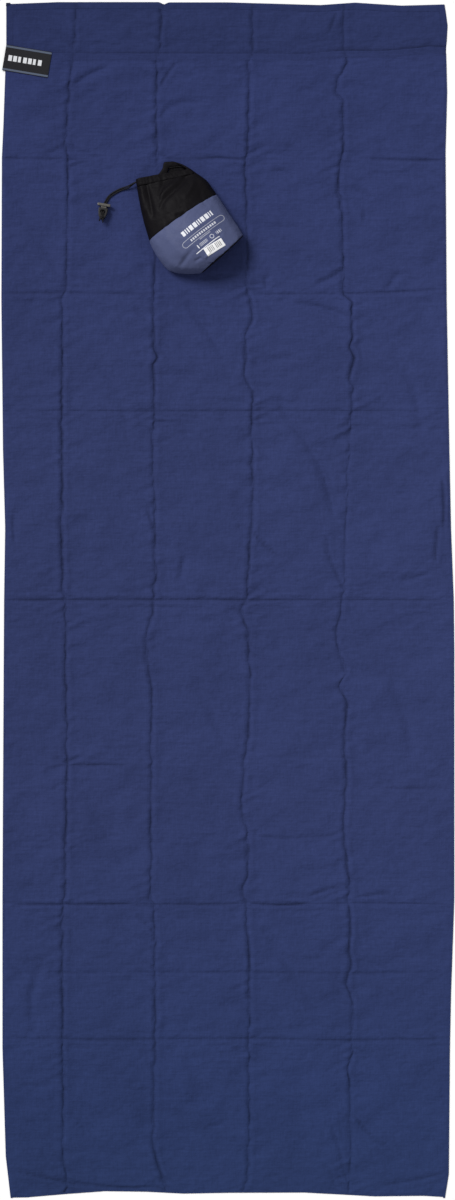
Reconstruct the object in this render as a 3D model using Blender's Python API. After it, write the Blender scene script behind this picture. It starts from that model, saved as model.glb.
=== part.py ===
"""Cotton sleeping-bag liner laid flat, with its stuff sack lying on it.

The liner is an envelope of two layers of thin cotton. The back layer runs past the mouth of the
front layer as a single, hemmed head strip. Seams close both sides and the foot. It folds up on
pressed creases, so the cloth is split where it folds. The stuff sack has a drawcord in a
casing at its mouth, and a sprung cord lock on the two free strands.

Frame: metres, +Z up, +Y towards the head, origin under the middle of the liner.
"""

import math

import bmesh
import bpy
import numpy as np
from mathutils import Matrix, Vector

# Liner
LINER_LENGTH = 2.200
LINER_WIDTH = 0.826
CLOTH = 0.0006
GAP = 0.0003
SEAM_WIDTH = 0.008
SEAM_RISE = 0.0003
HEM_WIDTH = 0.012
HEAD_STRIP = 0.094
HEAD_FOLD_TO_MOUTH = 0.020
FOOT_SECTION = 0.541

# The side edges wander a little: share of the length from the middle, and metres inwards.
LEFT_EDGE = (
    (-0.500, 0.014), (-0.465, 0.005), (-0.375, -0.001), (-0.250, -0.001), (-0.160, 0.000),
    (0.000, 0.002), (0.060, 0.004), (0.125, 0.000), (0.250, -0.003), (0.370, -0.002),
    (0.400, 0.001), (0.465, 0.006), (0.500, 0.006),
)
RIGHT_EDGE = (
    (-0.500, 0.013), (-0.480, 0.006), (-0.375, 0.004), (-0.330, 0.002), (-0.250, -0.004),
    (-0.040, -0.004), (0.000, -0.003), (0.060, 0.002), (0.125, 0.005), (0.250, 0.010),
    (0.375, 0.012), (0.425, 0.009), (0.460, 0.011), (0.480, 0.008), (0.500, 0.014),
)

# Label: sewn into the left seam, turned a little clockwise
LABEL_LENGTH = 0.0855
LABEL_WIDTH = 0.0475
LABEL_TURN = math.radians(-9.5)
LABEL_BELOW_MOUTH = 0.008
LABEL_OUTSIDE = 0.0033

# Stuff sack, in its own frame: +X across it, +Y out of its mouth, +Z up from the liner
SACK_LENGTH = 0.190
SACK_WIDTH = 0.150
SACK_HEIGHT = 0.062
SACK_WALL = 0.0012
SACK_FROM_MIDLINE = -0.118
SACK_FROM_HEAD = 0.319
SACK_TURN = math.radians(28.2)
BASE_THICKNESS = 0.0015
CASING_SKIN = 0.0009
REAR_LIP = 1.5
STATION_GAP = 0.02
CASING_END, PANEL_SEAM, SACK_END = 1.0, 3.0, 7.0

# Sections of the sack from mouth to base: left rail (x, y) and right rail (x, y) as shares of
# the width and the length, then the radius of the sides and the crown as shares of the height.
SACK_STATIONS = np.array((
    (-0.327, 0.084, 0.327, -0.084, 0.16, 0.00),
    (-0.360, 0.010, 0.373, -0.153, 0.16, 0.04),
    (-0.460, -0.247, 0.433, -0.263, 0.19, 0.32),
    (-0.533, -0.505, 0.460, -0.421, 0.21, 0.45),
    (-0.540, -0.668, 0.473, -0.558, 0.23, 0.52),
    (-0.500, -0.837, 0.487, -0.695, 0.23, 0.54),
    (-0.353, -0.942, 0.500, -0.789, 0.24, 0.52),
    (-0.173, -1.005, 0.500, -0.874, 0.24, 0.45),
))

# Sticker on the lower panel: range of stations and share of the section's half-width
STICKER_STATIONS = (5.65, 6.40)
STICKER_ACROSS = (-0.15, 0.42)
STICKER_THICKNESS = 0.0003

# Drawcord
CORD_DIAMETER = 0.0026
CHANNEL_CLEARANCE = 0.0004
CORD_POINT_SPACING = 0.0055

# Cord lock, in its own frame: +Y from the tip to the cap, +Z up, origin under the cord hole
LOCK_PLACE = (-0.130, -0.008)
LOCK_TURN = math.radians(-38.0)
LOCK_THICKNESS = 0.009
LOCK_HALF_WIDTH = 0.0085
LOCK_TOP = 0.007
LOCK_TIP = 0.0145
HOLE_SLACK = 0.0011
HOLE_FLARE = 0.0015
TONGUE_WIDTH = 0.010
TONGUE_THICKNESS = 0.0046
TONGUE_END = -0.0045
POCKET_END = -0.0081
BORE_END = -0.0120
PRESS_TRAVEL = 0.003
CAP_WIDTH = 0.024
CAP_DEPTH = 0.005
SPRING_RADIUS = 0.0018
SPRING_WIRE = 0.0005
SPRING_TURNS = 4.5
KNOT_RADIUS = 0.0032
KNOT_FROM_HOLE = 0.0095

# Levels and lines that follow from the sizes above
TWO_LAYERS = 2 * CLOTH + GAP
SEAM_TOP = TWO_LAYERS + SEAM_RISE
LABEL_BOTTOM = SEAM_TOP + GAP
LABEL_TOP = LABEL_BOTTOM + CLOTH
HEAD_Y = LINER_LENGTH / 2
FOOT_Y = -LINER_LENGTH / 2
MOUTH_Y = HEAD_Y - HEAD_STRIP
HEAD_FOLD_Y = MOUTH_Y + HEAD_FOLD_TO_MOUTH
HALF_FOLD_Y = 0.0
FOOT_FOLD_Y = FOOT_Y + FOOT_SECTION
HEAD_FOLD_Z = (LABEL_TOP + 2 * CLOTH) / 2 + 1.5 * GAP
HALF_FOLD_Z = SEAM_TOP + 1.5 * GAP
FOOT_FOLD_Z = SEAM_TOP + GAP
CORD_RADIUS = CORD_DIAMETER / 2
STRAND_SPACING = CORD_DIAMETER + 2 * GAP
EXIT_SPACING = CORD_DIAMETER + 4 * GAP
CASING_WALL = CORD_DIAMETER + 2 * (CHANNEL_CLEARANCE + CASING_SKIN)
CORD_LEVEL = CORD_RADIUS + 2 * GAP
LOCK_BOTTOM = CORD_LEVEL + CORD_RADIUS + 2 * GAP
LOCK_MIDDLE = LOCK_BOTTOM + LOCK_THICKNESS / 2
LOCK_CEILING = LOCK_BOTTOM + LOCK_THICKNESS
HOLE_HALF_LENGTH = CORD_RADIUS + HOLE_SLACK
CORD_IN_HOLE = HOLE_SLACK - 2 * GAP
HOLE_HALF_WIDTH = STRAND_SPACING / 2 + CORD_RADIUS + 2 * GAP
BEND_RADIUS = 0.0025


# ---- Materials

def principled(name, colour, roughness, metallic=0.0):
    material = bpy.data.materials.new(name)
    material.use_nodes = True
    shader = material.node_tree.nodes["Principled BSDF"]
    shader.inputs["Base Color"].default_value = (*colour, 1.0)
    shader.inputs["Roughness"].default_value = roughness
    shader.inputs["Metallic"].default_value = metallic
    material.diffuse_color = (*colour, 1.0)
    return material


# ---- Scene helpers

def clear_scene():
    for obj in list(bpy.data.objects):
        bpy.data.objects.remove(obj)


def add_empty(name, location, parent=None, turn=0.0):
    """An empty at a location in its parent's frame, turned about Z."""
    empty = bpy.data.objects.new(name, None)
    empty.empty_display_size = 0.03
    empty.location = location
    empty.rotation_euler = (0.0, 0.0, turn)
    empty.parent = parent
    bpy.context.scene.collection.objects.link(empty)
    return empty


def add_object(name, data, parent, material, location=(0, 0, 0)):
    obj = bpy.data.objects.new(name, data)
    obj.location = location
    obj.parent = parent
    if material:
        data.materials.append(material)
    bpy.context.scene.collection.objects.link(obj)
    return obj


def closed_mesh(name, points, faces, smooth=False):
    """A mesh from points and faces, with its normals turned outwards."""
    mesh = bpy.data.meshes.new(name)
    mesh.from_pydata([tuple(point) for point in points], [], faces)
    shape = bmesh.new()
    shape.from_mesh(mesh)
    bmesh.ops.recalc_face_normals(shape, faces=shape.faces)
    shape.to_mesh(mesh)
    shape.free()
    if smooth:
        mesh.shade_smooth()
        mesh.set_sharp_from_angle(angle=math.radians(40))
    return mesh


def prism_mesh(name, outline, low, high):
    """A straight prism over a plan outline."""
    count = len(outline)
    points = [(x, y, z) for z in (low, high) for x, y in outline]
    faces = [tuple(range(count)), tuple(range(count, 2 * count))]
    for i in range(count):
        j = (i + 1) % count
        faces.append((i, j, j + count, i + count))
    return closed_mesh(name, points, faces)


def box_outline(x0, x1, y0, y1):
    return [(x0, y0), (x1, y0), (x1, y1), (x0, y1)]


def boolean(obj, cutter, operation="DIFFERENCE"):
    cutter.hide_render = True
    cutter.display_type = "WIRE"
    modifier = obj.modifiers.new(cutter.name, "BOOLEAN")
    modifier.operation = operation
    modifier.solver = "EXACT"
    modifier.object = cutter


def bevel(obj, width, segments=2):
    modifier = obj.modifiers.new("edges", "BEVEL")
    modifier.width = width
    modifier.segments = segments
    modifier.limit_method = "ANGLE"


# ---- Liner

def edge_left(y):
    shares, inwards = zip(*LEFT_EDGE)
    return -LINER_WIDTH / 2 + float(np.interp(y / LINER_LENGTH, shares, inwards))


def edge_right(y):
    shares, inwards = zip(*RIGHT_EDGE)
    return LINER_WIDTH / 2 - float(np.interp(y / LINER_LENGTH, shares, inwards))


def cloth_strip(name, y0, y1, left, right, low, high, parent, material):
    """A flat piece of cloth between two side lines, which are functions of y."""
    bends = {share * LINER_LENGTH for share, _ in LEFT_EDGE + RIGHT_EDGE}
    heights = sorted({y0, y1} | {y for y in bends if y0 + GAP < y < y1 - GAP})
    rows = len(heights)
    base = parent.matrix_world.translation
    points = []
    for y in heights:
        for x, z in ((left(y), low), (right(y), low), (right(y), high), (left(y), high)):
            points.append((x - base.x, y - base.y, z - base.z))
    faces = [(0, 1, 2, 3), tuple(4 * (rows - 1) + k for k in range(4))]
    for row in range(rows - 1):
        for k in range(4):
            here, there = 4 * row + k, 4 * row + (k + 1) % 4
            faces.append((here, there, there + 4, here + 4))
    return add_object(name, closed_mesh(name, points, faces), parent, material)


def seam_left_inner(y):
    return edge_left(y) + SEAM_WIDTH


def seam_right_inner(y):
    return edge_right(y) - SEAM_WIDTH


def panel_left(y):
    return seam_left_inner(y) + GAP


def panel_right(y):
    return seam_right_inner(y) - GAP


def hem_left_inner(y):
    return edge_left(y) + HEM_WIDTH


def hem_right_inner(y):
    return edge_right(y) - HEM_WIDTH


def envelope_section(section, y0, y1, front_top, panel_bottom, parent, cotton):
    """The back and front panels between two folds, and the seams that join them at the sides."""
    back_low, back_high = 0.0, CLOTH
    front_low, front_high = CLOTH + GAP, TWO_LAYERS
    cloth_strip(f"back_{section}", panel_bottom, y1, panel_left, panel_right,
                back_low, back_high, parent, cotton)
    cloth_strip(f"front_{section}", panel_bottom, front_top, panel_left, panel_right,
                front_low, front_high, parent, cotton)
    seam_bottom = max(y0, FOOT_Y + SEAM_WIDTH + GAP)
    cloth_strip(f"seam_left_{section}", seam_bottom, y1, edge_left, seam_left_inner,
                0.0, SEAM_TOP, parent, cotton)
    cloth_strip(f"seam_right_{section}", seam_bottom, y1, seam_right_inner, edge_right,
                0.0, SEAM_TOP, parent, cotton)


def build_liner(cotton, hem_cotton, woven_black):
    half_gap = GAP / 2
    liner = add_empty("liner", (0, 0, 0))
    half_fold = add_empty("half_fold_axis", (0, HALF_FOLD_Y, HALF_FOLD_Z), liner)
    foot_fold = add_empty(
        "foot_fold_axis", (0, FOOT_FOLD_Y - HALF_FOLD_Y, FOOT_FOLD_Z - HALF_FOLD_Z), half_fold)
    head_fold = add_empty("head_fold_axis", (0, HEAD_FOLD_Y, HEAD_FOLD_Z), liner)
    bpy.context.view_layer.update()

    head_half_top = HEAD_FOLD_Y - half_gap
    front_top = MOUTH_Y - HEM_WIDTH - GAP
    envelope_section("head_half", HALF_FOLD_Y + half_gap, head_half_top, front_top,
                     HALF_FOLD_Y + half_gap, liner, cotton)
    cloth_strip("mouth_hem", MOUTH_Y - HEM_WIDTH, MOUTH_Y, panel_left, panel_right,
                CLOTH + GAP, SEAM_TOP, liner, hem_cotton)

    middle_top = HALF_FOLD_Y - half_gap
    middle_bottom = FOOT_FOLD_Y + half_gap
    envelope_section("middle", middle_bottom, middle_top, middle_top, middle_bottom,
                     half_fold, cotton)

    foot_top = FOOT_FOLD_Y - half_gap
    foot_panel_bottom = FOOT_Y + SEAM_WIDTH + GAP
    envelope_section("foot", FOOT_Y, foot_top, foot_top, foot_panel_bottom, foot_fold, cotton)
    cloth_strip("foot_seam", FOOT_Y, FOOT_Y + SEAM_WIDTH, edge_left, edge_right,
                0.0, SEAM_TOP, foot_fold, cotton)

    strip_bottom = HEAD_FOLD_Y + half_gap
    strip_top = HEAD_Y - HEM_WIDTH - GAP
    cloth_strip("head_strip", strip_bottom, strip_top,
                lambda y: hem_left_inner(y) + GAP, lambda y: hem_right_inner(y) - GAP,
                0.0, CLOTH, head_fold, cotton)
    cloth_strip("head_hem_left", strip_bottom, strip_top, edge_left, hem_left_inner,
                0.0, 2 * CLOTH, head_fold, hem_cotton)
    cloth_strip("head_hem_right", strip_bottom, strip_top, hem_right_inner, edge_right,
                0.0, 2 * CLOTH, head_fold, hem_cotton)
    cloth_strip("head_hem_top", HEAD_Y - HEM_WIDTH, HEAD_Y, edge_left, edge_right,
                0.0, 2 * CLOTH, head_fold, hem_cotton)

    label_y = MOUTH_Y - LABEL_BELOW_MOUTH
    label_x = edge_left(label_y) - LABEL_OUTSIDE
    label_mesh = prism_mesh(
        "label",
        box_outline(half_gap, LABEL_LENGTH, -LABEL_WIDTH / 2, LABEL_WIDTH / 2),
        -CLOTH / 2, CLOTH / 2)
    label = add_object("label", label_mesh, liner, woven_black,
                       (label_x, label_y, (LABEL_BOTTOM + LABEL_TOP) / 2))
    label.rotation_euler = (0.0, 0.0, LABEL_TURN)
    return liner


# ---- Stuff sack

def stations_at(distance):
    """Rows of the station table at any station number, along a smooth curve through them. Before
    the first station the table runs on in a straight line."""
    distance = np.asarray(distance, float)
    last = len(SACK_STATIONS) - 1
    index = np.clip(np.floor(distance).astype(int), 0, last - 1)
    t = (distance - index)[..., None]
    p0 = SACK_STATIONS[np.maximum(index - 1, 0)]
    p1 = SACK_STATIONS[index]
    p2 = SACK_STATIONS[index + 1]
    p3 = SACK_STATIONS[np.minimum(index + 2, last)]
    smooth = 0.5 * (2 * p1 + (p2 - p0) * t + (2 * p0 - 5 * p1 + 4 * p2 - p3) * t**2
                    + (3 * p1 - p0 - 3 * p2 + p3) * t**3)
    return np.where(t < 0, p1 + (p2 - p1) * t, smooth)


def ring_shape(end_steps=8, flat_steps=12):
    """Unit shape of a section: round sides joined by a flat underside and a crowned top. Each
    row is the share along the flat and the cosine and sine on the round side."""
    up = np.linspace(-math.pi / 2, math.pi / 2, end_steps + 1)[:-1]
    along = np.linspace(1, -1, flat_steps + 1)[:-1]
    ones, zeros = np.ones(flat_steps), np.zeros(flat_steps)
    right = np.stack([np.ones(end_steps), np.cos(up), np.sin(up)], 1)
    top = np.stack([along, zeros, ones], 1)
    left = np.stack([-np.ones(end_steps), -np.cos(up), -np.sin(up)], 1)
    under = np.stack([-along, zeros, -ones], 1)
    return np.concatenate([right, top, left, under])


def section_points(distance, shape, inset=0.0):
    """Points of the sack's surface, moved inwards by inset, at one station number for each row
    of the ring shape."""
    rows = stations_at(distance)
    left = rows[..., 0:2] * (SACK_WIDTH, SACK_LENGTH)
    right = rows[..., 2:4] * (SACK_WIDTH, SACK_LENGTH)
    radius = rows[..., 4] * SACK_HEIGHT
    crown = rows[..., 5] * SACK_HEIGHT
    middle, half = (left + right) / 2, (right - left) / 2
    half_width = np.linalg.norm(half, axis=-1)
    flat, cosine, sine = shape.T
    across = (half_width - radius) * flat + (radius - inset) * cosine
    share = across / half_width
    plan = middle + half * share[..., None]
    level = inset + (radius - inset) * (1 + sine)
    level = level + crown * np.maximum(sine, 0) * (1 - share**2)
    return np.concatenate([plan, level[..., None]], -1)


def rear_lip(shape):
    """How far, in stations, the rear of the mouth reaches past its front, on the right."""
    flat, _, sine = shape.T
    ramp = np.clip((flat + 0.6) / 1.2, 0, 1)
    return REAR_LIP * (1 - sine) / 2 * ramp * ramp * (3 - 2 * ramp)


def shell_mesh(name, starts, ends, steps, wall, shape):
    """An open tube of cloth between two sets of station numbers, one for each ring point."""
    count = len(shape)
    shares = np.linspace(0, 1, steps + 1)[:, None]
    distance = starts + (ends - starts) * shares
    outer = section_points(distance, shape)
    inner = section_points(distance, shape, wall)
    points = np.concatenate([outer.reshape(-1, 3), inner.reshape(-1, 3)])
    layer = (steps + 1) * count
    faces = []
    for row in range(steps):
        for i in range(count):
            j = (i + 1) % count
            a, b = row * count + i, row * count + j
            faces.append((a, b, b + count, a + count))
            faces.append((a + layer, a + count + layer, b + count + layer, b + layer))
    for row in (0, steps):
        for i in range(count):
            a, b = row * count + i, row * count + (i + 1) % count
            faces.append((a, b, b + layer, a + layer))
    return closed_mesh(name, points, faces, smooth=True)


def ring_tube_mesh(name, centres, radius, sides=8):
    """A closed ring of tube through the centres, each section square to the ring."""
    ahead = np.roll(centres, -1, axis=0) - np.roll(centres, 1, axis=0)
    ahead /= np.linalg.norm(ahead, axis=1, keepdims=True)
    side = np.cross(ahead, (0.0, 1.0, 0.0))
    side /= np.linalg.norm(side, axis=1, keepdims=True)
    other = np.cross(ahead, side)
    angles = np.arange(sides) * 2 * math.pi / sides
    wheel = (side[:, None] * np.cos(angles)[None, :, None]
             + other[:, None] * np.sin(angles)[None, :, None])
    points = (centres[:, None] + radius * wheel).reshape(-1, 3)
    count = len(centres)
    faces = []
    for i in range(count):
        for k in range(sides):
            a, b = i * sides + k, i * sides + (k + 1) % sides
            j = (i + 1) % count * sides
            faces.append((a, b, j + (k + 1) % sides, j + k))
    return closed_mesh(name, points, faces)


def build_sack(liner, black_cloth, blue_cloth, paper):
    sack = add_empty("sack", (SACK_FROM_MIDLINE, HEAD_Y - SACK_FROM_HEAD, TWO_LAYERS + GAP),
                     liner, SACK_TURN)
    shape = ring_shape()
    lip = rear_lip(shape)
    ones = np.ones(len(shape))

    casing_mesh = shell_mesh("sack_mouth_casing", -lip, CASING_END - lip, 3, CASING_WALL, shape)
    casing = add_object("sack_mouth_casing", casing_mesh, sack, black_cloth)
    channel_radius = CORD_RADIUS + CHANNEL_CLEARANCE
    centres = section_points(CASING_END / 2 - lip, shape, CASING_WALL / 2)
    channel = add_object("casing_channel", ring_tube_mesh("channel", centres, channel_radius),
                         sack, None)
    boolean(casing, channel)
    exit_point = casing_exit()
    slot_half_height = EXIT_SPACING / 2 + CORD_RADIUS + GAP
    slot_reach = CASING_WALL
    slot_mesh = prism_mesh(
        "slot",
        box_outline(-slot_reach, CASING_WALL / 2, -channel_radius, channel_radius),
        -slot_half_height, slot_half_height)
    boolean(casing, add_object("casing_slot", slot_mesh, sack, None, exit_point))

    upper_mesh = shell_mesh("sack_upper_shell", CASING_END + STATION_GAP * (1 + 2 * lip) - lip,
                            (PANEL_SEAM - STATION_GAP / 2) * ones, 8, SACK_WALL, shape)
    add_object("sack_upper_shell", upper_mesh, sack, black_cloth)
    lower_mesh = shell_mesh("sack_lower_shell", (PANEL_SEAM + STATION_GAP / 2) * ones,
                            SACK_END * ones, 10, SACK_WALL, shape)
    add_object("sack_lower_shell", lower_mesh, sack, blue_cloth)

    end_ring = section_points(SACK_END * ones, shape)
    left, right = end_ring[end_ring[:, 0].argmin()], end_ring[end_ring[:, 0].argmax()]
    along = (right - left)[:2] / np.linalg.norm((right - left)[:2])
    outwards = np.array((along[1], -along[0], 0.0))
    count = len(end_ring)
    rings = [end_ring + outwards * offset for offset in (GAP, GAP + BASE_THICKNESS)]
    faces = [tuple(range(count)), tuple(range(count, 2 * count))]
    faces += [(i, (i + 1) % count, (i + 1) % count + count, i + count) for i in range(count)]
    base_mesh = closed_mesh("sack_base", np.concatenate(rings), faces)
    add_object("sack_base", base_mesh, sack, black_cloth)

    add_object("sack_sticker", sticker_mesh(), sack, paper)
    return sack


def sticker_mesh(steps=6):
    """A thin patch that follows the crown of the lower panel."""
    across = np.linspace(*STICKER_ACROSS, steps + 1)
    shape = np.stack([across, np.zeros(steps + 1), np.ones(steps + 1)], 1)
    distance = np.linspace(*STICKER_STATIONS, steps + 1)[:, None] * np.ones(steps + 1)
    lift = np.array((0.0, 0.0, 1.0))
    surface = section_points(distance, shape).reshape(-1, 3)
    points = np.concatenate([surface + lift * 1.5 * GAP,
                             surface + lift * (1.5 * GAP + STICKER_THICKNESS)])
    side = steps + 1
    layer = side * side
    faces = []
    for row in range(steps):
        for i in range(steps):
            a = row * side + i
            quad = (a, a + 1, a + side + 1, a + side)
            faces.append(quad)
            faces.append(tuple(k + layer for k in reversed(quad)))
    border = [*range(side), *range(2 * side - 1, layer, side),
              *range(layer - 2, layer - side - 1, -1), *range(layer - 2 * side, 0, -side)]
    for a, b in zip(border, border[1:] + border[:1]):
        faces.append((a, b, b + layer, a + layer))
    return closed_mesh("sack_sticker", points, faces)


# ---- Drawcord

def casing_exit():
    """Middle of the cord's way out, at the left tip of the mouth, on the channel's centreline."""
    tip = np.array([(-1.0, -1.0, 0.0)])
    return section_points(np.array([CASING_END / 2]), tip, CASING_WALL / 2)[0]


def smooth_route(points, spacing):
    """Points at an even spacing along a smooth curve through the given points."""
    points = np.array(points, float)
    padded = np.concatenate([[2 * points[0] - points[1]], points,
                             [2 * points[-1] - points[-2]]])
    t = np.linspace(0, 1, 20, endpoint=False)[:, None]
    fine = []
    for p0, p1, p2, p3 in zip(padded, padded[1:], padded[2:], padded[3:]):
        fine.append(0.5 * (2 * p1 + (p2 - p0) * t + (2 * p0 - 5 * p1 + 4 * p2 - p3) * t**2
                           + (3 * p1 - p0 - 3 * p2 + p3) * t**3))
    fine = np.concatenate([*fine, points[-1:]])
    lengths = np.concatenate([[0], np.cumsum(np.linalg.norm(np.diff(fine, axis=0), axis=1))])
    wanted = np.linspace(0, lengths[-1], round(lengths[-1] / spacing) + 1)
    return np.stack([np.interp(wanted, lengths, fine[:, k]) for k in range(3)], 1)


def cord_object(name, points, radius, parent, material, resolution=2):
    curve = bpy.data.curves.new(name, "CURVE")
    curve.dimensions = "3D"
    curve.bevel_depth = radius
    curve.bevel_resolution = resolution
    curve.use_fill_caps = True
    curve.twist_mode = "MINIMUM"
    spline = curve.splines.new("POLY")
    spline.points.add(len(points) - 1)
    for target, point in zip(spline.points, points):
        target.co = (*point, 1.0)
    return add_object(name, curve, parent, material)


def build_drawcord(sack, lock_frame, cord_black):
    """The loop in the casing, the two free strands and the knot that ties their ends."""
    shape = ring_shape()
    lip = rear_lip(shape)
    ring = section_points(CASING_END / 2 - lip, shape, CASING_WALL / 2)
    tip = int(ring[:, 0].argmin())
    loop = np.roll(ring, -tip, axis=0)[1:]
    cord_object("drawcord_loop", loop, CORD_RADIUS, sack, cord_black)

    exit_point = casing_exit()
    start_x = -(CORD_DIAMETER + GAP)
    cap_side = LOCK_TOP + PRESS_TRAVEL + CAP_DEPTH
    # Heights are above the liner; the strands part at the exit and lie side by side.
    for name, side in (("drawcord_strand_upper", 1.0), ("drawcord_strand_lower", -1.0)):
        route = [
            exit_point + (start_x, 0.0, side * EXIT_SPACING / 2),
            exit_point + (start_x - 0.003, 0.0, side * EXIT_SPACING / 2),
            (-0.068, 0.011 + side * STRAND_SPACING * 0.45, 0.0052 + side * 0.0008),
            (-0.080, 0.0135 + side * STRAND_SPACING / 2, CORD_LEVEL),
            (-0.094, 0.0140 + side * STRAND_SPACING / 2, CORD_LEVEL),
            (-0.108, 0.0115 + side * STRAND_SPACING / 2, CORD_LEVEL),
        ]
        route = [Vector(point) for point in route]
        x = -side * STRAND_SPACING / 2
        y, bend = CORD_IN_HOLE, BEND_RADIUS
        under = CORD_LEVEL
        over = LOCK_CEILING + 2 * GAP + CORD_RADIUS
        in_lock = [
            (x, cap_side - 0.002, under), (x, y + 2.2 * bend, under), (x, y + bend, under),
            (x, y + 0.29 * bend, under + 0.29 * bend), (x, y, under + bend),
            (x, y, LOCK_MIDDLE), (x, y, over - bend),
            (x, y - 0.29 * bend, over - 0.29 * bend), (x, y - bend, over),
            (x, CORD_RADIUS + KNOT_RADIUS - KNOT_FROM_HOLE, over),
        ]
        turn = Matrix.Rotation(LOCK_TURN, 4, "Z")
        turn.translation = (*LOCK_PLACE, 0.0)
        route += [turn @ Vector(point) for point in in_lock]
        # Heights above are from the liner; the sack's frame lies one gap above it.
        points = smooth_route(route, CORD_POINT_SPACING / 2)
        points[:, 2] -= GAP
        cord_object(name, points, CORD_RADIUS, sack, cord_black)

    knot = bpy.data.meshes.new("drawcord_knot")
    shape = bmesh.new()
    bmesh.ops.create_uvsphere(shape, u_segments=16, v_segments=10, radius=KNOT_RADIUS)
    shape.to_mesh(knot)
    shape.free()
    knot.shade_smooth()
    add_object("drawcord_knot", knot, lock_frame, cord_black,
               (0.0, -KNOT_FROM_HOLE, LOCK_CEILING + GAP + KNOT_RADIUS))


# ---- Cord lock

def stadium(half_length, half_width, steps=8):
    """Plan outline with round ends along X."""
    straight = half_length - half_width
    outline = []
    for centre, start in ((straight, -math.pi / 2), (-straight, math.pi / 2)):
        for k in range(steps + 1):
            angle = start + math.pi * k / steps
            outline.append((centre + half_width * math.cos(angle), half_width * math.sin(angle)))
    return outline


def flared_hole_mesh(name):
    """Cutter for the cord hole: straight through, and flared where the cords bend into it."""
    levels = (
        (LOCK_BOTTOM - GAP, HOLE_FLARE + GAP), (LOCK_BOTTOM + HOLE_FLARE, 0.0),
        (LOCK_CEILING - HOLE_FLARE, 0.0), (LOCK_CEILING + GAP, HOLE_FLARE + GAP),
    )
    points = []
    for z, wider in levels:
        outline = stadium(HOLE_HALF_WIDTH + wider, HOLE_HALF_LENGTH + wider)
        points += [(x, y, z) for x, y in outline]
    count = len(points) // len(levels)
    last = (len(levels) - 1) * count
    faces = [tuple(range(count)), tuple(range(last, last + count))]
    for row in range(len(levels) - 1):
        for i in range(count):
            a, b = row * count + i, row * count + (i + 1) % count
            faces.append((a, b, b + count, a + count))
    return closed_mesh(name, points, faces)


def build_cord_lock(lock, plastic, steel):
    wide = LOCK_HALF_WIDTH
    outline = [
        (wide, LOCK_TOP), (-wide, LOCK_TOP), (-0.97 * wide, 0.0), (-0.78 * wide, -0.0078),
        (-0.36 * wide, -LOCK_TIP), (0.36 * wide, -LOCK_TIP), (0.78 * wide, -0.0078),
        (0.97 * wide, 0.0),
    ]
    body_mesh = prism_mesh("lock_body", outline, LOCK_BOTTOM, LOCK_CEILING)
    body = add_object("lock_body", body_mesh, lock, plastic)
    bevel(body, 0.0009)
    boolean(body, add_object("lock_cord_hole", flared_hole_mesh("cord_hole"), lock, None))
    pocket_half = TONGUE_WIDTH / 2 + GAP
    pocket_low = LOCK_MIDDLE - TONGUE_THICKNESS / 2 - GAP
    pocket_high = LOCK_MIDDLE + TONGUE_THICKNESS / 2 + GAP
    pocket = prism_mesh("pocket",
                        box_outline(-pocket_half, pocket_half, POCKET_END, LOCK_TOP + 0.002),
                        pocket_low, pocket_high)
    boolean(body, add_object("lock_pocket", pocket, lock, None))
    bore = bpy.data.meshes.new("spring_bore")
    shape = bmesh.new()
    bore_radius = SPRING_RADIUS + SPRING_WIRE / 2 + GAP
    length = POCKET_END + 0.002 - BORE_END
    bmesh.ops.create_cone(shape, cap_ends=True, segments=16, radius1=bore_radius,
                          radius2=bore_radius, depth=length)
    shape.to_mesh(bore)
    shape.free()
    bore_object = add_object("lock_spring_bore", bore, lock, None,
                             (0.0, BORE_END + length / 2, LOCK_MIDDLE))
    bore_object.rotation_euler = (math.pi / 2, 0.0, 0.0)
    boolean(body, bore_object)

    cap_low = LOCK_TOP + PRESS_TRAVEL + GAP
    cap_mesh = prism_mesh(
        "lock_plunger",
        box_outline(-CAP_WIDTH / 2, CAP_WIDTH / 2, cap_low, cap_low + CAP_DEPTH),
        LOCK_BOTTOM, LOCK_CEILING)
    plunger = add_object("lock_plunger", cap_mesh, lock, plastic)
    bevel(plunger, 0.0012)
    tongue = prism_mesh(
        "tongue",
        box_outline(-TONGUE_WIDTH / 2, TONGUE_WIDTH / 2, TONGUE_END, cap_low + CAP_DEPTH / 2),
        LOCK_MIDDLE - TONGUE_THICKNESS / 2, LOCK_MIDDLE + TONGUE_THICKNESS / 2)
    boolean(plunger, add_object("plunger_tongue", tongue, lock, None), "UNION")
    grip = CORD_IN_HOLE - CORD_RADIUS - 2 * GAP
    slot_top = CORD_IN_HOLE + CORD_RADIUS + 2 * GAP + PRESS_TRAVEL
    slot = prism_mesh(
        "tongue_slot",
        box_outline(-HOLE_HALF_WIDTH, HOLE_HALF_WIDTH, grip, slot_top),
        LOCK_MIDDLE - TONGUE_THICKNESS, LOCK_MIDDLE + TONGUE_THICKNESS)
    boolean(plunger, add_object("plunger_slot", slot, lock, None))

    turn_points = 12
    total = round(SPRING_TURNS * turn_points)
    low = BORE_END + SPRING_WIRE / 2 + GAP
    high = TONGUE_END - SPRING_WIRE / 2 - GAP
    coil = []
    for k in range(total + 1):
        angle = 2 * math.pi * k / turn_points
        coil.append((SPRING_RADIUS * math.cos(angle), low + (high - low) * k / total,
                     LOCK_MIDDLE + SPRING_RADIUS * math.sin(angle)))
    cord_object("lock_spring", coil, SPRING_WIRE / 2, lock, steel, resolution=1)


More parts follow.
